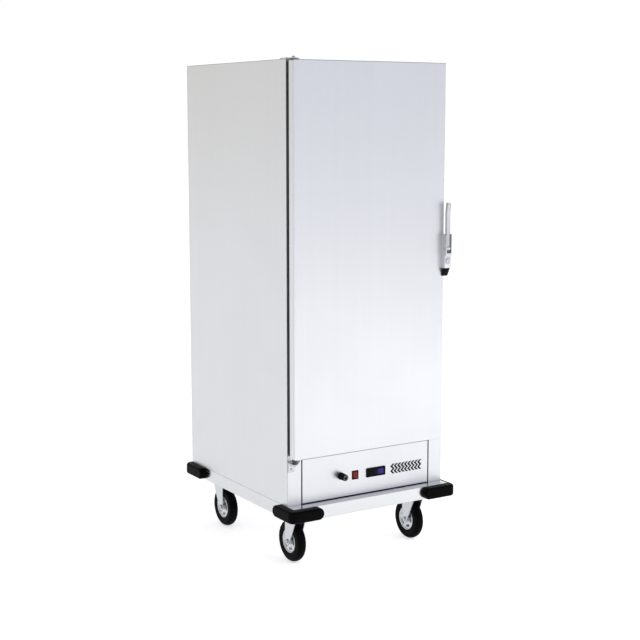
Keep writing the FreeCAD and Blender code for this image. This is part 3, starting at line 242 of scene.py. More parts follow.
def eased_edges() -> Effect:
    """Softened arrises: a rounded normal and a mask of where it turns.

    Returns:
        The group: its input is the edge radius in metres, its outputs are the normal and the mask.
    """
    effect = Effect(
        "EasedEdges", {"Radius": 0.0006}, {"Normal": "NodeSocketVector", "Edge": "NodeSocketFloat"}
    )
    bevel = effect.node("ShaderNodeBevel", samples=4)
    effect.link(effect.source.outputs["Radius"], bevel.inputs["Radius"])
    plain = effect.node("ShaderNodeNewGeometry").outputs["Normal"]
    turned = effect.node("ShaderNodeVectorMath", operation="DOT_PRODUCT")
    effect.link(bevel.outputs["Normal"], turned.inputs[0])
    effect.link(plain, turned.inputs[1])
    away = effect.maths("SUBTRACT", 1.0, turned.outputs["Value"])
    mask = effect.node("ShaderNodeMath", operation="MULTIPLY", use_clamp=True)
    effect.link(away, mask.inputs[0])
    sharpness = 6.0
    mask.inputs[1].default_value = sharpness
    effect.link(bevel.outputs["Normal"], effect.sink.inputs["Normal"])
    effect.link(mask.outputs[0], effect.sink.inputs["Edge"])
    return effect


def moulded_texture() -> Effect:
    """Spark-eroded mould texture with the faint clouding that moulding leaves.

    Returns:
        The group: its input is the texture's scale, its outputs are a height and a cloud mask.
    """
    effect = Effect(
        "MouldedTexture", {"Scale": 2500.0}, {"Height": "NodeSocketFloat", "Cloud": "NodeSocketFloat"}
    )
    place = effect.node("ShaderNodeTexCoord").outputs["Object"]
    grain = effect.node("ShaderNodeTexNoise")
    grain.inputs["Detail"].default_value = 2.0
    effect.link(place, grain.inputs["Vector"])
    effect.link(effect.source.outputs["Scale"], grain.inputs["Scale"])
    cloud = effect.noise(place, scale=22.0, detail=4.0, rough=0.6)
    effect.link(grain.outputs["Fac"], effect.sink.inputs["Height"])
    effect.link(cloud, effect.sink.inputs["Cloud"])
    return effect


class Effects:
    """The shared effects, built once."""

    def __init__(self) -> None:
        """Builds every group."""
        self.lines = polishing_lines()
        self.marks = handling_marks()
        self.edges = eased_edges()
        self.mould = moulded_texture()


# ---------------------------------------------------------------- finishes


class Surface:
    """A material under construction: its tree, its shader and short ways to add to them."""

    def __init__(self, name: str) -> None:
        """Starts a material.

        Args:
            name: the material's name.
        """
        self.material = bpy.data.materials.new(name)
        self.material.use_nodes = True
        self.tree = self.material.node_tree
        self.shader = self.tree.nodes["Principled BSDF"]

    def place(self, effect: Effect, **values: float) -> bpy.types.Node:
        """Puts a shared effect into the material.

        Args:
            effect: the group.
            values: its inputs, with underscores for spaces.

        Returns:
            The group node.
        """
        node = add_node(self.tree, "ShaderNodeGroup", node_tree=effect.tree)
        for label, value in values.items():
            node.inputs[label.replace("_", " ")].default_value = value
        return node

    def blend(self, mask: bpy.types.NodeSocket, first: Colour, second: Colour) -> bpy.types.NodeSocket:
        """Mixes two colours by a mask.

        Args:
            mask: 0 for the first colour, 1 for the second.
            first: linear colour.
            second: linear colour.

        Returns:
            The mixed colour's socket.
        """
        mix = add_node(self.tree, "ShaderNodeMix", data_type="RGBA")
        self.tree.links.new(mask, mix.inputs["Factor"])
        mix.inputs["A"].default_value = (*first, 1.0)
        mix.inputs["B"].default_value = (*second, 1.0)
        return mix.outputs["Result"]

    def darken(
        self, colour: bpy.types.NodeSocket, mask: bpy.types.NodeSocket, amount: float
    ) -> bpy.types.NodeSocket:
        """Darkens a colour where a mask is set.

        Args:
            colour: the colour's socket.
            mask: 1 where it is darkened most.
            amount: the share taken away there.

        Returns:
            The darkened colour's socket.
        """
        share = self.remap(mask, 1.0, 1.0 - amount)
        scale = add_node(self.tree, "ShaderNodeVectorMath", operation="SCALE")
        self.tree.links.new(colour, scale.inputs[0])
        self.tree.links.new(share, scale.inputs["Scale"])
        return scale.outputs["Vector"]

    def remap(self, value: bpy.types.NodeSocket, low: float, high: float) -> bpy.types.NodeSocket:
        """Stretches a 0 to 1 value over a range.

        Args:
            value: the socket to read.
            low: result at 0.
            high: result at 1.

        Returns:
            The result's socket.
        """
        node = add_node(self.tree, "ShaderNodeMapRange")
        self.tree.links.new(value, node.inputs["Value"])
        node.inputs["To Min"].default_value = low
        node.inputs["To Max"].default_value = high
        return node.outputs["Result"]

    def sum(self, first: bpy.types.NodeSocket, second: bpy.types.NodeSocket) -> bpy.types.NodeSocket:
        """Adds two values, held between 0 and 1.

        Args:
            first: one value's socket.
            second: the other's.

        Returns:
            The sum's socket.
        """
        node = add_node(self.tree, "ShaderNodeMath", operation="ADD", use_clamp=True)
        self.tree.links.new(first, node.inputs[0])
        self.tree.links.new(second, node.inputs[1])
        return node.outputs[0]

    def feed(self, socket: str, value: bpy.types.NodeSocket) -> None:
        """Links a value into one of the shader's sockets."""
        self.tree.links.new(value, self.shader.inputs[socket])

    def relief(
        self, height: bpy.types.NodeSocket, depth: float, normal: bpy.types.NodeSocket
    ) -> None:
        """Raises the surface by a height.

        Args:
            height: the height's socket.
            depth: how far one unit of height stands, in metres.
            normal: the normal to start from.
        """
        bump = add_node(self.tree, "ShaderNodeBump")
        bump.inputs["Strength"].default_value = 1.0
        bump.inputs["Distance"].default_value = depth
        self.tree.links.new(height, bump.inputs["Height"])
        self.tree.links.new(normal, bump.inputs["Normal"])
        self.feed("Normal", bump.outputs["Normal"])


@dataclass(frozen=True)
class Steel:
    """Polished or plated steel."""

    name: str
    tint: Colour
    roughness: float
    grain: Grain = Grain.UPRIGHT
    line_depth: float = 0.000004
    streak: float = 0.06
    marks: float = 0.05
    mark_scale: float = 2.5
    edge_radius: float = 0.002
    # Painted shade: the share by which the colour is darkened along every edge, standing in for the shade
    # in joints, folds and slots.
    painted_edge_shade: float = 0.7

    def make(self, effects: Effects) -> bpy.types.Material:
        """Builds the material.

        Args:
            effects: the shared groups.

        Returns:
            The material.
        """
        surface = Surface(self.name)
        along = self.grain.value
        lines = surface.place(effects.lines, Along_X=along[0], Along_Y=along[1], Along_Z=along[2])
        marks = surface.place(effects.marks, Scale=self.mark_scale)
        edges = surface.place(effects.edges, Radius=self.edge_radius)
        dull = tuple(part * (1 - self.streak) for part in self.tint)
        tone = surface.remap(lines.outputs["Tone"], -0.3, 1.3)
        polished = surface.blend(tone, dull, self.tint)
        # Colour darkened along every edge: painted shade for the dark lines at joints and in slots.
        surface.feed("Base Color", surface.darken(polished, edges.outputs["Edge"], self.painted_edge_shade))
        rough = surface.remap(lines.outputs["Tone"], self.roughness * 0.9, self.roughness * 1.1)
        handled = surface.remap(marks.outputs["Mask"], 0.0, self.marks)
        surface.feed("Roughness", surface.sum(rough, handled))
        surface.shader.inputs["Metallic"].default_value = 1.0
        surface.relief(lines.outputs["Height"], self.line_depth, edges.outputs["Normal"])
        return surface.material


@dataclass(frozen=True)
class Moulding:
    """Rubber or plastic out of a mould."""

    name: str
    colour: Colour
    bloom: Colour
    roughness: float
    texture_depth: float = 0.00003
    texture_scale: float = 2500.0
    coat: float = 0.0
    gloss_level: float = 0.4
    roughness_spread: float = 0.1

    def make(self, effects: Effects) -> bpy.types.Material:
        """Builds the material.

        Args:
            effects: the shared groups.

        Returns:
            The material.
        """
        surface = Surface(self.name)
        mould = surface.place(effects.mould, Scale=self.texture_scale)
        edges = surface.place(effects.edges)
        # Colour lighter in random clouds and along every edge.
        lighter_clouds_and_edges = surface.sum(surface.remap(mould.outputs["Cloud"], -0.4, 0.8), edges.outputs["Edge"])
        surface.feed("Base Color", surface.blend(lighter_clouds_and_edges, self.colour, self.bloom))
        low, high = self.roughness - self.roughness_spread, self.roughness + self.roughness_spread
        rough = surface.remap(mould.outputs["Cloud"], low, high)
        surface.feed("Roughness", rough)
        surface.shader.inputs["Coat Weight"].default_value = self.coat
        surface.shader.inputs["Specular IOR Level"].default_value = self.gloss_level
        surface.relief(mould.outputs["Height"], self.texture_depth, edges.outputs["Normal"])
        return surface.material


@dataclass(frozen=True)
class Glow:
    """A lit indicator behind a tinted front."""

    name: str
    colour: Colour
    glow: Colour
    strength: float
    dark_to: float
    lit_from: float

    def make(self, effects: Effects) -> bpy.types.Material:
        """Builds the material.

        Args:
            effects: the shared groups.

        Returns:
            The material.
        """
        surface = Surface(self.name)
        mould = surface.place(effects.mould, Scale=400.0)
        place = add_node(surface.tree, "ShaderNodeTexCoord").outputs["Object"]
        across = add_node(surface.tree, "ShaderNodeSeparateXYZ")
        surface.tree.links.new(place, across.inputs[0])
        ramp = add_node(surface.tree, "ShaderNodeMapRange")
        surface.tree.links.new(across.outputs["X"], ramp.inputs["Value"])
        ramp.inputs["From Min"].default_value = self.dark_to
        ramp.inputs["From Max"].default_value = self.lit_from
        clouded = add_node(surface.tree, "ShaderNodeMath", operation="MULTIPLY", use_clamp=True)
        surface.tree.links.new(ramp.outputs["Result"], clouded.inputs[0])
        surface.tree.links.new(surface.remap(mould.outputs["Cloud"], 0.8, 1.1), clouded.inputs[1])
        for socket in ("Base Color", "Emission Color"):
            surface.feed(socket, surface.blend(clouded.outputs[0], self.colour, self.glow))
        surface.shader.inputs["Emission Strength"].default_value = self.strength
        surface.shader.inputs["Roughness"].default_value = 0.18
        surface.shader.inputs["Specular IOR Level"].default_value = 0.1
        return surface.material


def finishes() -> dict[str, Steel | Moulding | Glow]:
    """Every finish, keyed by the record's material slot it belongs to.

    Returns:
        Slot name to finish.
    """
    window_low, window_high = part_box("display_window")
    window_width = window_high.x - window_low.x
    return {
        "casing_steel": Steel("SatinCasing", (0.695, 0.705, 0.725), 0.34),
        "chassis_steel": Steel("BrightTray", (0.69, 0.695, 0.71), 0.17, Grain.ACROSS),
        "liner_steel": Steel("MillLiner", (0.62, 0.63, 0.64), 0.38),
        "fitting_steel": Steel("SatinFittings", (0.60, 0.61, 0.63), 0.30, Grain.TUMBLED, 0.000008),
        "zinc_steel": Steel("BrightZinc", (0.66, 0.68, 0.70), 0.30, Grain.TUMBLED, 0.00001, 0.16),
        "fasteners": Steel("PlainFasteners", (0.52, 0.53, 0.55), 0.33, Grain.TUMBLED, 0.000008, 0.12),
        "lock_chrome": Steel("ChromedLock", (0.72, 0.73, 0.75), 0.12, Grain.TUMBLED, 0.000002, 0.03),
        "heater_sheath": Steel("HeatStainedSheath", (0.30, 0.24, 0.20), 0.42, Grain.TUMBLED, 0.00001, 0.45),
        "bush_acetal": Moulding("AcetalBush", (0.030, 0.030, 0.032), (0.05, 0.05, 0.052), 0.4),
        "motor_paint": Moulding("MotorEnamel", (0.02, 0.022, 0.025), (0.05, 0.052, 0.055), 0.35, coat=0.3),
        "foam": Moulding("RigidFoam", (0.62, 0.50, 0.26), (0.74, 0.64, 0.40), 0.85, 0.0004, 600.0),
        "black_plastic": Moulding(
            "BlackPlastic", (0.003, 0.003, 0.0034), (0.008, 0.008, 0.009), 0.42, gloss_level=0.05
        ),
        "red_plastic": Moulding(
            "RedRockerPlastic", (0.17, 0.012, 0.013), (0.24, 0.024, 0.025), 0.3, 0.00001, gloss_level=0.15
        ),
        "display_lens": Glow(
            "DisplayLens", (0.002, 0.002, 0.006), (0.024, 0.018, 0.11), 0.8,
            window_low.x + WINDOW_DARK_TO * window_width, window_low.x + WINDOW_LIT_FROM * window_width,
        ),
        "gasket_rubber": Moulding("SealRubber", (0.01, 0.01, 0.011), (0.022, 0.022, 0.024), 0.6),
        "bumper_rubber": Moulding(
            "BumperRubber", (0.0015, 0.0015, 0.0018), (0.004, 0.004, 0.0045), 0.42, 0.00004, 1400.0,
            gloss_level=0.03,
        ),
        "tyre_rubber": Moulding(
            "TyreRubber", (0.0015, 0.0015, 0.0018), (0.005, 0.005, 0.0055), 0.5, 0.00004, 1400.0,
            gloss_level=0.03,
        ),
    }


class FinishShop:
    """Makes each slot's material once and dresses pieces with it."""

    def __init__(self) -> None:
        """Builds the effects and every material."""
        effects = Effects()
        self.materials = {slot: finish.make(effects) for slot, finish in finishes().items()}

    def dress(self, piece: bpy.types.Object, slot: str) -> None:
        """Gives a made piece its slot's finish.

        Args:
            piece: the piece.
            slot: the record's material slot.
        """
        piece.data.materials.clear()
        piece.data.materials.append(self.materials[slot])

    def dress_cad(self, record: dict) -> None:
        """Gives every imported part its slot's finish.

        Args:
            record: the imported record.
        """
        for part in record["subparts"]:
            cad = frame["nodes"][part["node"]]
            for place in cad.material_slots:
                place.material = self.materials[part["material_slot"]]
            log.info("%s takes %s", part["node"], part["material_slot"])


# ---------------------------------------------------------------- mesh work


def make_piece(name: str, mesh: bmesh.types.BMesh, smooth_below: float = 35.0) -> bpy.types.Object:
    """Turns worked mesh into a piece, shaded smooth except over sharp folds.

    Args:
        name: the piece's name.
        mesh: the mesh, which is freed.
        smooth_below: the fold in degrees up to which it is shaded smooth.

    Returns:
        The new object, at the frame's origin.
    """
    bmesh.ops.recalc_face_normals(mesh, faces=mesh.faces)
    limit = math.radians(smooth_below)
    for face in mesh.faces:
        face.smooth = True
    for edge in mesh.edges:
        edge.smooth = len(edge.link_faces) == 2 and edge.calc_face_angle() < limit
    data = bpy.data.meshes.new(name)
    mesh.to_mesh(data)
    mesh.free()
    piece = bpy.data.objects.new(name, data)
    bpy.context.scene.collection.objects.link(piece)
    return piece


def lathe(profile: Profile, centre: Vector, axis: Vector, steps: int = 64) -> bmesh.types.BMesh:
    """Turns a closed outline round an axis.

    Args:
        profile: (along, radius) pairs. Points at radius 0 end the outline on the axis.
        centre: the point that along is measured from.
        axis: the axis, a unit vector.
        steps: facets in the full turn.

    Returns:
        The turned mesh.
    """
    side = axis.orthogonal().normalized()
    mesh = bmesh.new()
    rings = []
    for along, radius in profile:
        foot = centre + axis * along
        if radius < ON_AXIS:
            rings.append([mesh.verts.new(foot)] * steps)
            continue
        ring = []
        for step in range(steps):
            spoke = Matrix.Rotation(2 * math.pi * step / steps, 3, axis) @ side
            ring.append(mesh.verts.new(foot + spoke * radius))
        rings.append(ring)
    closed = profile[0][1] > ON_AXIS
    count = len(rings) if closed else len(rings) - 1
    for place in range(count):
        here, there = rings[place], rings[(place + 1) % len(rings)]
        for step in range(steps):
            after = (step + 1) % steps
            corners = [here[step], here[after], there[after], there[step]]
            distinct = [v for i, v in enumerate(corners) if v not in corners[:i]]
            if len(distinct) > 2:
                mesh.faces.new(distinct)
    return mesh


def arc(
    centre: tuple[float, float], radius: float, start: float, end: float, steps: int
) -> list[tuple[float, float]]:
    """Points along a circular arc.

    Args:
        centre: the arc's centre.
        radius: its radius.
        start: first angle in degrees.
        end: last angle in degrees.
        steps: the number of gaps between points.

    Returns:
        The points, first and last included.
    """
    points = []
    for step in range(steps + 1):
        turn = math.radians(start + (end - start) * step / steps)
        points.append((centre[0] + radius * math.cos(turn), centre[1] + radius * math.sin(turn)))
    return points


def block(low: Vector, high: Vector, ease: float, segments: int = 3) -> bmesh.types.BMesh:
    """Block with rounded edges.

    Args:
        low: lowest corner.
        high: highest corner.
        ease: edge radius.
        segments: facets round each edge.

    Returns:
        The mesh.
    """
    mesh = bmesh.new()
    bmesh.ops.create_cube(mesh, size=1.0)
    for vert in mesh.verts:
        vert.co = Vector(high[i] if vert.co[i] > 0 else low[i] for i in range(3))
    bmesh.ops.bevel(
        mesh, geom=mesh.edges[:], offset=ease, segments=segments, profile=ROUND_PROFILE, affect="EDGES"
    )
    return mesh


def eased_copy(node: str, ease: float, segments: int = 3) -> bmesh.types.BMesh:
    """The node's own shape with its sharp edges rounded off.

    Args:
        node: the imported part's name.
        ease: edge radius.
        segments: facets round each edge.

    Returns:
        The mesh.
    """
    mesh = bmesh.new()
    mesh.from_mesh(frame["nodes"][node].data)
    bmesh.ops.remove_doubles(mesh, verts=mesh.verts, dist=MERGE_WITHIN)
    bmesh.ops.dissolve_limit(mesh, angle_limit=FLAT_BELOW, verts=mesh.verts, edges=mesh.edges)
    sharp = [e for e in mesh.edges if len(e.link_faces) == 2 and e.calc_face_angle() > SHARP_ABOVE]
    bmesh.ops.bevel(
        mesh, geom=sharp, offset=ease, segments=segments, profile=ROUND_PROFILE, affect="EDGES",
        clamp_overlap=True,
    )
    return mesh


def join(meshes: Sequence[bmesh.types.BMesh]) -> bmesh.types.BMesh:
    """Gathers several meshes into the first.

    Args:
        meshes: the meshes, of which all but the first are freed.

    Returns:
        The first mesh, holding them all.
    """
    whole = meshes[0]
    for extra in meshes[1:]:
        data = bpy.data.meshes.new("gathered")
        extra.to_mesh(data)
        extra.free()
        whole.from_mesh(data)
        bpy.data.meshes.remove(data)
    return whole


def centre_of(node: str) -> Vector:
    """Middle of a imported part's box."""
    low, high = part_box(node)
    return (low + high) / 2


def fit(piece: bpy.types.Object, body: str, slot: str, shop: FinishShop, *nodes: str) -> None:
    """Puts a made piece on its body, in its finish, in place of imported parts.

    Args:
        piece: the piece.
        body: the body it rides on.
        slot: the record's material slot.
        shop: where finishes come from.
        nodes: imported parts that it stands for.
    """
    shop.dress(piece, slot)
    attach(piece, body)
    if nodes:
        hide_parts(*nodes)
    log.info("%s rides on %s", piece.name, body)


# ---------------------------------------------------------------- sub-assemblies


@dataclass
class Castors:
    """Tyres with rounded shoulders and moulded side rings, in place of the plain ones."""

    ring_width: float = 0.0016
    ring_depth: float = 0.0008
    ring_start: float = 0.021
    crown_drop: float = 0.016
    crown_fullness: float = 0.7
    crown_steps: int = 12
    wall_draft: float = 0.0004
    bead_height: float = 0.005
    bead_set_in: float = 0.0018
    bead_foot: float = 0.0012
    rim_set_in: float = 0.002
    steps: int = 96

    def tyre_profile(self, half: float, seat: float, bore: float, radius: float) -> Profile:
        """Half-outline mirrored about the tread's middle.

        Args:
            half: half the tyre's width.
            seat: half the rim's width.
            bore: radius of the rim seat.
            radius: tread radius.

        Returns:
            The closed outline.
        """
        crown = []
        for step in range(self.crown_steps + 1):
            turn = math.radians(90 * step / self.crown_steps)
            lift = math.cos(turn) ** self.crown_fullness
            crown.append((half * math.sin(turn), radius - self.crown_drop * (1 - lift)))
        ring_top = radius - self.ring_start
        ring_foot = ring_top - self.ring_depth - self.ring_width
        wall = [
            (half, ring_top), (half - self.ring_depth, ring_top - self.ring_depth),
            (half - self.ring_depth, ring_foot), (half, ring_foot - self.ring_depth),
            (half - self.wall_draft, bore + self.bead_height),
            (half - self.bead_set_in, bore + self.bead_foot), (seat, bore),
        ]
        right = crown + wall
        left = [(-across, r) for across, r in reversed(right)]
        return left[:-1] + right

    def build(self, shop: FinishShop) -> None:
        """Builds one tyre for each castor.

        Args:
            shop: where finishes come from.
        """
        for corner in Corner:
            node = f"castor_{corner.value}_tyre"
            low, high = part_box(node)
            rim_low, rim_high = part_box(f"castor_{corner.value}_rim")
            radius = (high.z - low.z) / 2
            bore = (rim_high.z - rim_low.z) / 2
            half = (high.x - low.x) / 2
            profile = self.tyre_profile(half, half - self.rim_set_in, bore, radius)
            mesh = lathe(profile, centre_of(node), ACROSS, self.steps)
            piece = make_piece(f"{corner.value}_tyre_tread", mesh)
            fit(piece, f"castor_{corner.value}_wheel", "tyre_rubber", shop, node)


@dataclass
class DoorSeal:
    """Bellows seal round the door's inner pan."""

    lips: int = 3
    lip_depth: float = 0.0022
    width: float = 0.010
    flat_share: float = 0.45
    pinch_share: float = 0.75
    tip_ease: float = 0.001
    smooth_below: float = 50.0

    def build(self, shop: FinishShop) -> None:
        """Sweeps the bellows outline round the door with mitred corners.

        Args:
            shop: where finishes come from.
        """
        low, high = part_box("door_gasket")
        mesh = bmesh.new()
        rings = []
        for inset, depth in self.outline(low.y, high.y):
            corners = (
                (low.x + inset, low.z + inset), (high.x - inset, low.z + inset),
                (high.x - inset, high.z - inset), (low.x + inset, high.z - inset),
            )
            rings.append([mesh.verts.new((x, depth, z)) for x, z in corners])
        for place, here in enumerate(rings):
            there = rings[(place + 1) % len(rings)]
            for corner in range(4):
                after = (corner + 1) % 4
                mesh.faces.new([here[corner], here[after], there[after], there[corner]])
        piece = make_piece("door_bellows_seal", mesh, self.smooth_below)
        fit(piece, "door", "gasket_rubber", shop, "door_gasket")

    def outline(self, root: float, tip: float) -> list[tuple[float, float]]:
        """Cross-section as (inset, depth) pairs, pleated on both flanks.

        Args:
            root: depth at the door's pan.
            tip: depth at the frame.

        Returns:
            The closed outline.
        """
        pitch = (tip - root) / self.lips
        outer = []
        for lip in range(self.lips):
            start = root + lip * pitch
            outer += [
                (0.0, start), (0.0, start + pitch * self.flat_share),
                (self.lip_depth, start + pitch * self.pinch_share),
            ]
        outer.append((self.tip_ease, tip))
        return outer + [(self.width - inset, depth) for inset, depth in reversed(outer)]


@dataclass
class ControlKnob:
    """Fluted knob with a bright ring and a pointer let into its face."""

    panel_gap: float = 0.0004
    face_radius: float = 0.0121
    face_edge: float = 0.0022
    face_rim: float = 0.0042
    face_recess: float = 0.0006
    skirt_height: float = 0.0036
    skirt_shoulder: tuple[tuple[float, float], ...] = ((0.0046, 0.0002), (0.0066, 0.0005))
    taper_end: float = 0.0042
    taper_allowance: float = 0.0003
    flutes: int = 18
    flute_depth: float = 0.0007
    flutes_from: float = 0.006
    flutes_stop: float = 0.003
    ring: tuple[tuple[float, float], ...] = (
        (0.0016, 0.0044), (0.0016, 0.0028), (0.0002, 0.0032), (0.0002, 0.0040)
    )
    ring_steps: int = 72
    pointer_half_width: float = 0.0006
    pointer_start: float = 0.001
    pointer_short_of_face: float = 0.0046
    pointer_top: float = 0.0004
    pointer_depth: float = 0.0008
    pointer_ease: float = 0.0002
    steps: int = 144

    def build(self, shop: FinishShop) -> None:
        """Builds the grip, and the ring and pointer in its face.

        Args:
            shop: where finishes come from.
        """
        low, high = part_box("control_knob")
        middle = centre_of("control_knob")
        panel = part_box("control_panel")[0].y - self.panel_gap
        base = Vector((middle.x, panel, middle.z))
        length = panel - low.y
        self.build_grip(shop, base, length, (high.x - low.x) / 2)
        self.build_face(shop, base, length)

    def build_grip(self, shop: FinishShop, base: Vector, length: float, skirt: float) -> None:
        """Builds the black grip.

        Args:
            shop: where finishes come from.
            base: the knob's base centre.
            length: the knob's length.
            skirt: the skirt's radius.
        """
        edge_centre = (length - self.face_edge, self.face_radius - self.face_edge)
        floor = length - self.face_recess
        profile = [(0.0, 0.0), (0.0, skirt), (self.skirt_height, skirt)]
        profile += [(along, skirt - drop) for along, drop in self.skirt_shoulder]
        profile += [(length - self.taper_end, self.face_radius + self.taper_allowance)]
        profile += arc(edge_centre, self.face_edge, 90, 0, 5)
        profile += [(floor, self.face_radius - self.face_rim), (floor, 0.0)]
        mesh = lathe(profile, base, OUTWARD, self.steps)
        for vert in mesh.verts:
            self.flute(vert, base, length)
        fit(make_piece("knob_grip", mesh), "control_knob", "black_plastic", shop, "control_knob")

    def flute(self, vert: bmesh.types.BMVert, base: Vector, length: float) -> None:
        """Presses a grip flute into the knob's taper.

        Args:
            vert: the vertex to move.
            base: the knob's base centre.
            length: the knob's length.
        """
        out = vert.co - base
        if not self.flutes_from < out.dot(OUTWARD) < length - self.flutes_stop:
            return
        turn = math.atan2(out.z, out.x)
        press = self.flute_depth * max(0.0, math.cos(turn * self.flutes)) ** 2
        vert.co -= Vector((out.x, 0, out.z)).normalized() * press

    def build_face(self, shop: FinishShop, base: Vector, length: float) -> None:
        """Builds the bright ring let into the knob's face, and the pointer in it.

        Args:
            shop: where finishes come from.
            base: the knob's base centre.
            length: the knob's length.
        """
        outline = [(length - back, self.face_radius - inset) for back, inset in self.ring]
        ring = lathe(outline, base, OUTWARD, self.ring_steps)
        tip = base + OUTWARD * length
        front = tip.y + self.pointer_top
        pointer = block(
            Vector((tip.x - self.pointer_half_width, front, tip.z + self.pointer_start)),
            Vector((
                tip.x + self.pointer_half_width, front + self.pointer_depth,
                tip.z + self.face_radius - self.pointer_short_of_face,
            )),
            self.pointer_ease,
        )
        fit(make_piece("knob_face_ring", join([ring, pointer])), "control_knob", "lock_chrome", shop)


@dataclass
class RockerSwitch:
    """Red rocker and its bezel, with their edges eased."""

    paddle_ease: float = 0.0008
    bezel_ease: float = 0.0006

    def build(self, shop: FinishShop) -> None:
        """Builds the paddle and bezel.

        Args:
            shop: where finishes come from.
        """
        paddle = eased_copy("rocker_paddle", self.paddle_ease)
        fit(make_piece("rocker_cap", paddle), "rocker", "red_plastic", shop, "rocker_paddle")
        bezel = eased_copy("rocker_housing", self.bezel_ease)
        fit(make_piece("rocker_bezel", bezel), "cabinet", "black_plastic", shop, "rocker_housing")


@dataclass
class Controller:
    """Panel controller: eased bezel, four soft keys and a dim window."""

    bezel_ease: float = 0.0007
    key_columns: int = 2
    key_half_width: float = 0.0042
    key_half_height: float = 0.0036
    key_rise: float = 0.0005
    key_root: float = 0.002
    key_ease: float = 0.0009
    first_key: float = 0.0085
    key_pitch: float = 0.0115
    key_offset: float = 0.0058

    def build(self, shop: FinishShop) -> None:
        """Builds the bezel and keys. The window keeps its own shape.

        Args:
            shop: where finishes come from.
        """
        bezel = eased_copy("display_housing", self.bezel_ease)
        fit(make_piece("controller_bezel", bezel), "cabinet", "black_plastic", shop, "display_housing")
        low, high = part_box("display_housing")
        middle = (low.z + high.z) / 2
        keys = []
        for column in range(self.key_columns):
            for level in (middle - self.key_offset, middle + self.key_offset):
                x = low.x + self.first_key + column * self.key_pitch
                keys.append(block(
                    Vector((x - self.key_half_width, low.y - self.key_rise, level - self.key_half_height)),
                    Vector((x + self.key_half_width, low.y + self.key_root, level + self.key_half_height)),
                    self.key_ease,
                ))
        fit(make_piece("controller_keys", join(keys)), "cabinet", "black_plastic", shop)


@dataclass
class Fixings:
    """Eased copies of small fittings."""

    eased: tuple[tuple[str, str, float], ...] = (
        ("latch_housing", "door", 0.0008), ("latch_lever", "latch_lever", 0.0014),
        ("latch_foot", "door", 0.0012), ("latch_keeper", "cabinet", 0.0004),
        ("hinge_brackets", "cabinet", 0.0006),
    )

    def build(self, shop: FinishShop, record: dict) -> None:
        """Builds the fittings.

        Args:
            shop: where finishes come from.
            record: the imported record.
        """
        slots = {part["node"]: part["material_slot"] for part in record["subparts"]}
        for node, body, ease in self.eased:
            piece = make_piece(node + "_eased", eased_copy(node, ease))
            fit(piece, body, slots[node], shop, node)


# ---------------------------------------------------------------- studio


@dataclass(frozen=True)
class Patch:
    """One broad patch of the studio's surround, seen in one direction."""

    towards: tuple[float, float, float]
    light: Colour
    begins: float
    full: float


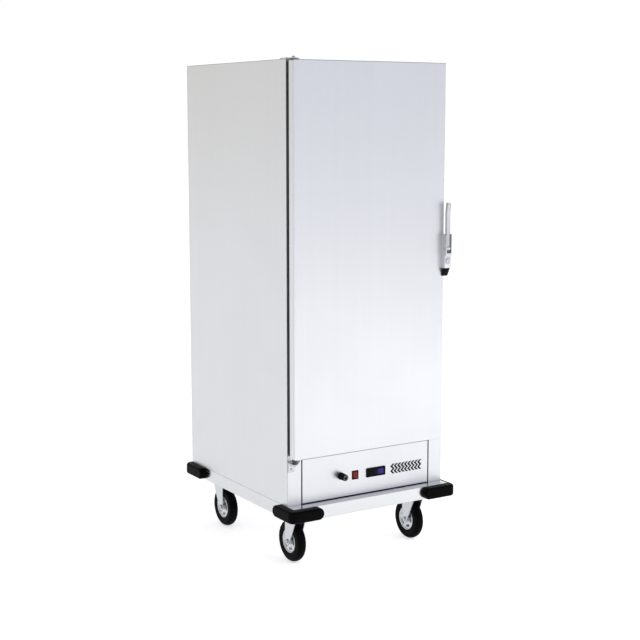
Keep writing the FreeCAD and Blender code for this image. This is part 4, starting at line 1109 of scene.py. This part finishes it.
@dataclass
class Studio:
    """Pale floor, soft light, the surround and the camera."""

    eye: Vector = field(default_factory=lambda: Vector((-2.7551, -4.4381, 1.6577)))
    heading: float = -31.98
    tilt: float = 81.395
    lens: float = 74.88
    floor_size: float = 80.0
    floor_glow: float = 0.56
    surround: Colour = (1.02, 1.02, 1.02)
    patches: tuple[Patch, ...] = (
        Patch((0.0, 0.0, 1.0), (0.38, 0.38, 0.39), 0.32, 0.82),
        Patch((0.53, -0.848, 0.0), (0.86, 0.88, 0.96), 0.55, 0.85),
        Patch((-0.53, 0.848, 0.0), (0.86, 0.84, 0.795), 0.7, 0.95),
        Patch((-0.847, -0.529, 0.0), (0.72, 0.72, 0.73), 0.70, 0.99),
    )

    def build(self) -> None:
        """Builds everything that isn't the cabinet."""
        self.build_floor()
        self.build_surround()
        self.build_light()
        self.build_camera()

    def build_floor(self) -> None:
        """Builds the floor."""
        mesh = bmesh.new()
        bmesh.ops.create_grid(mesh, x_segments=8, y_segments=8, size=self.floor_size / 2)
        floor = make_piece("studio_floor", mesh)
        surface = Surface("PaleFloor")
        texture = add_node(surface.tree, "ShaderNodeTexNoise")
        texture.inputs["Scale"].default_value = 3.0
        cloud = texture.outputs["Fac"]
        surface.feed("Base Color", surface.blend(cloud, (0.90, 0.90, 0.905), (0.92, 0.92, 0.92)))
        surface.feed("Emission Color", surface.blend(cloud, (0.99, 0.99, 1.0), (1.0, 1.0, 1.0)))
        surface.shader.inputs["Emission Strength"].default_value = self.floor_glow
        surface.shader.inputs["Roughness"].default_value = 0.9
        floor.data.materials.append(surface.material)

    def build_surround(self) -> None:
        """Lights the scene from all round, with broad patches that give steel something to mirror."""
        world = bpy.data.worlds.new("StudioSurround")
        bpy.context.scene.world = world
        world.use_nodes = True
        tree = world.node_tree
        place = add_node(tree, "ShaderNodeTexCoord").outputs["Generated"]
        light = add_node(tree, "ShaderNodeRGB").outputs[0]
        light.default_value = (*self.surround, 1.0)
        for patch in self.patches:
            light = self.add_patch(tree, place, light, patch)
        tree.links.new(light, tree.nodes["Background"].inputs["Color"])

    def add_patch(
        self, tree: bpy.types.NodeTree, place: bpy.types.NodeSocket,
        under: bpy.types.NodeSocket, patch: Patch,
    ) -> bpy.types.NodeSocket:
        """Lays one patch over the surround so far.

        Args:
            tree: the world's nodes.
            place: the direction looked in.
            under: the surround so far.
            patch: the patch.

        Returns:
            The surround with the patch on it.
        """
        facing = add_node(tree, "ShaderNodeVectorMath", operation="DOT_PRODUCT")
        tree.links.new(place, facing.inputs[0])
        facing.inputs[1].default_value = patch.towards
        cover = add_node(tree, "ShaderNodeMapRange", interpolation_type="SMOOTHSTEP")
        tree.links.new(facing.outputs["Value"], cover.inputs["Value"])
        cover.inputs["From Min"].default_value = patch.begins
        cover.inputs["From Max"].default_value = patch.full
        mix = add_node(tree, "ShaderNodeMix", data_type="RGBA")
        tree.links.new(cover.outputs["Result"], mix.inputs["Factor"])
        tree.links.new(under, mix.inputs["A"])
        mix.inputs["B"].default_value = (*patch.light, 1.0)
        return mix.outputs["Result"]

    def build_light(self) -> None:
        """Builds the soft box over the floor at the front right."""
        self.soft_box(
            "front_right_floor_light", place=Vector((2.2, -3.4, 2.6)), target=Vector((2.0, -3.2, 0.0)),
            size=2.4, power=70.0,
        )

    def soft_box(self, name: str, place: Vector, target: Vector, size: float, power: float) -> None:
        """Builds one square area light.

        Args:
            name: its name.
            place: where it hangs.
            target: what it faces.
            size: its side.
            power: its watts.
        """
        light = bpy.data.lights.new(name, "AREA")
        light.size = size
        light.energy = power
        lamp = bpy.data.objects.new(name, light)
        lamp.location = place
        lamp.visible_glossy = False
        lamp.rotation_euler = (target - place).to_track_quat("-Z", "Y").to_euler()
        bpy.context.scene.collection.objects.link(lamp)

    def build_camera(self) -> None:
        """Builds the camera."""
        lens = bpy.data.cameras.new("studio_camera")
        lens.lens = self.lens
        lens.sensor_width = 36.0
        lens.clip_end = 100.0
        camera = bpy.data.objects.new("studio_camera", lens)
        camera.location = self.eye
        camera.rotation_euler = (math.radians(self.tilt), 0.0, math.radians(self.heading))
        bpy.context.scene.collection.objects.link(camera)
        bpy.context.scene.camera = camera
        bpy.context.scene.view_settings.view_transform = "Standard"


def main() -> None:
    """Builds the cabinet's looks in order."""
    logging.basicConfig(level=logging.INFO, format="%(name)s: %(message)s")
    record = frame["record"]
    shop = FinishShop()
    shop.dress_cad(record)
    Castors().build(shop)
    DoorSeal().build(shop)
    ControlKnob().build(shop)
    RockerSwitch().build(shop)
    Controller().build(shop)
    Fixings().build(shop, record)
    Studio().build()


if __name__ == "__main__":
    main()
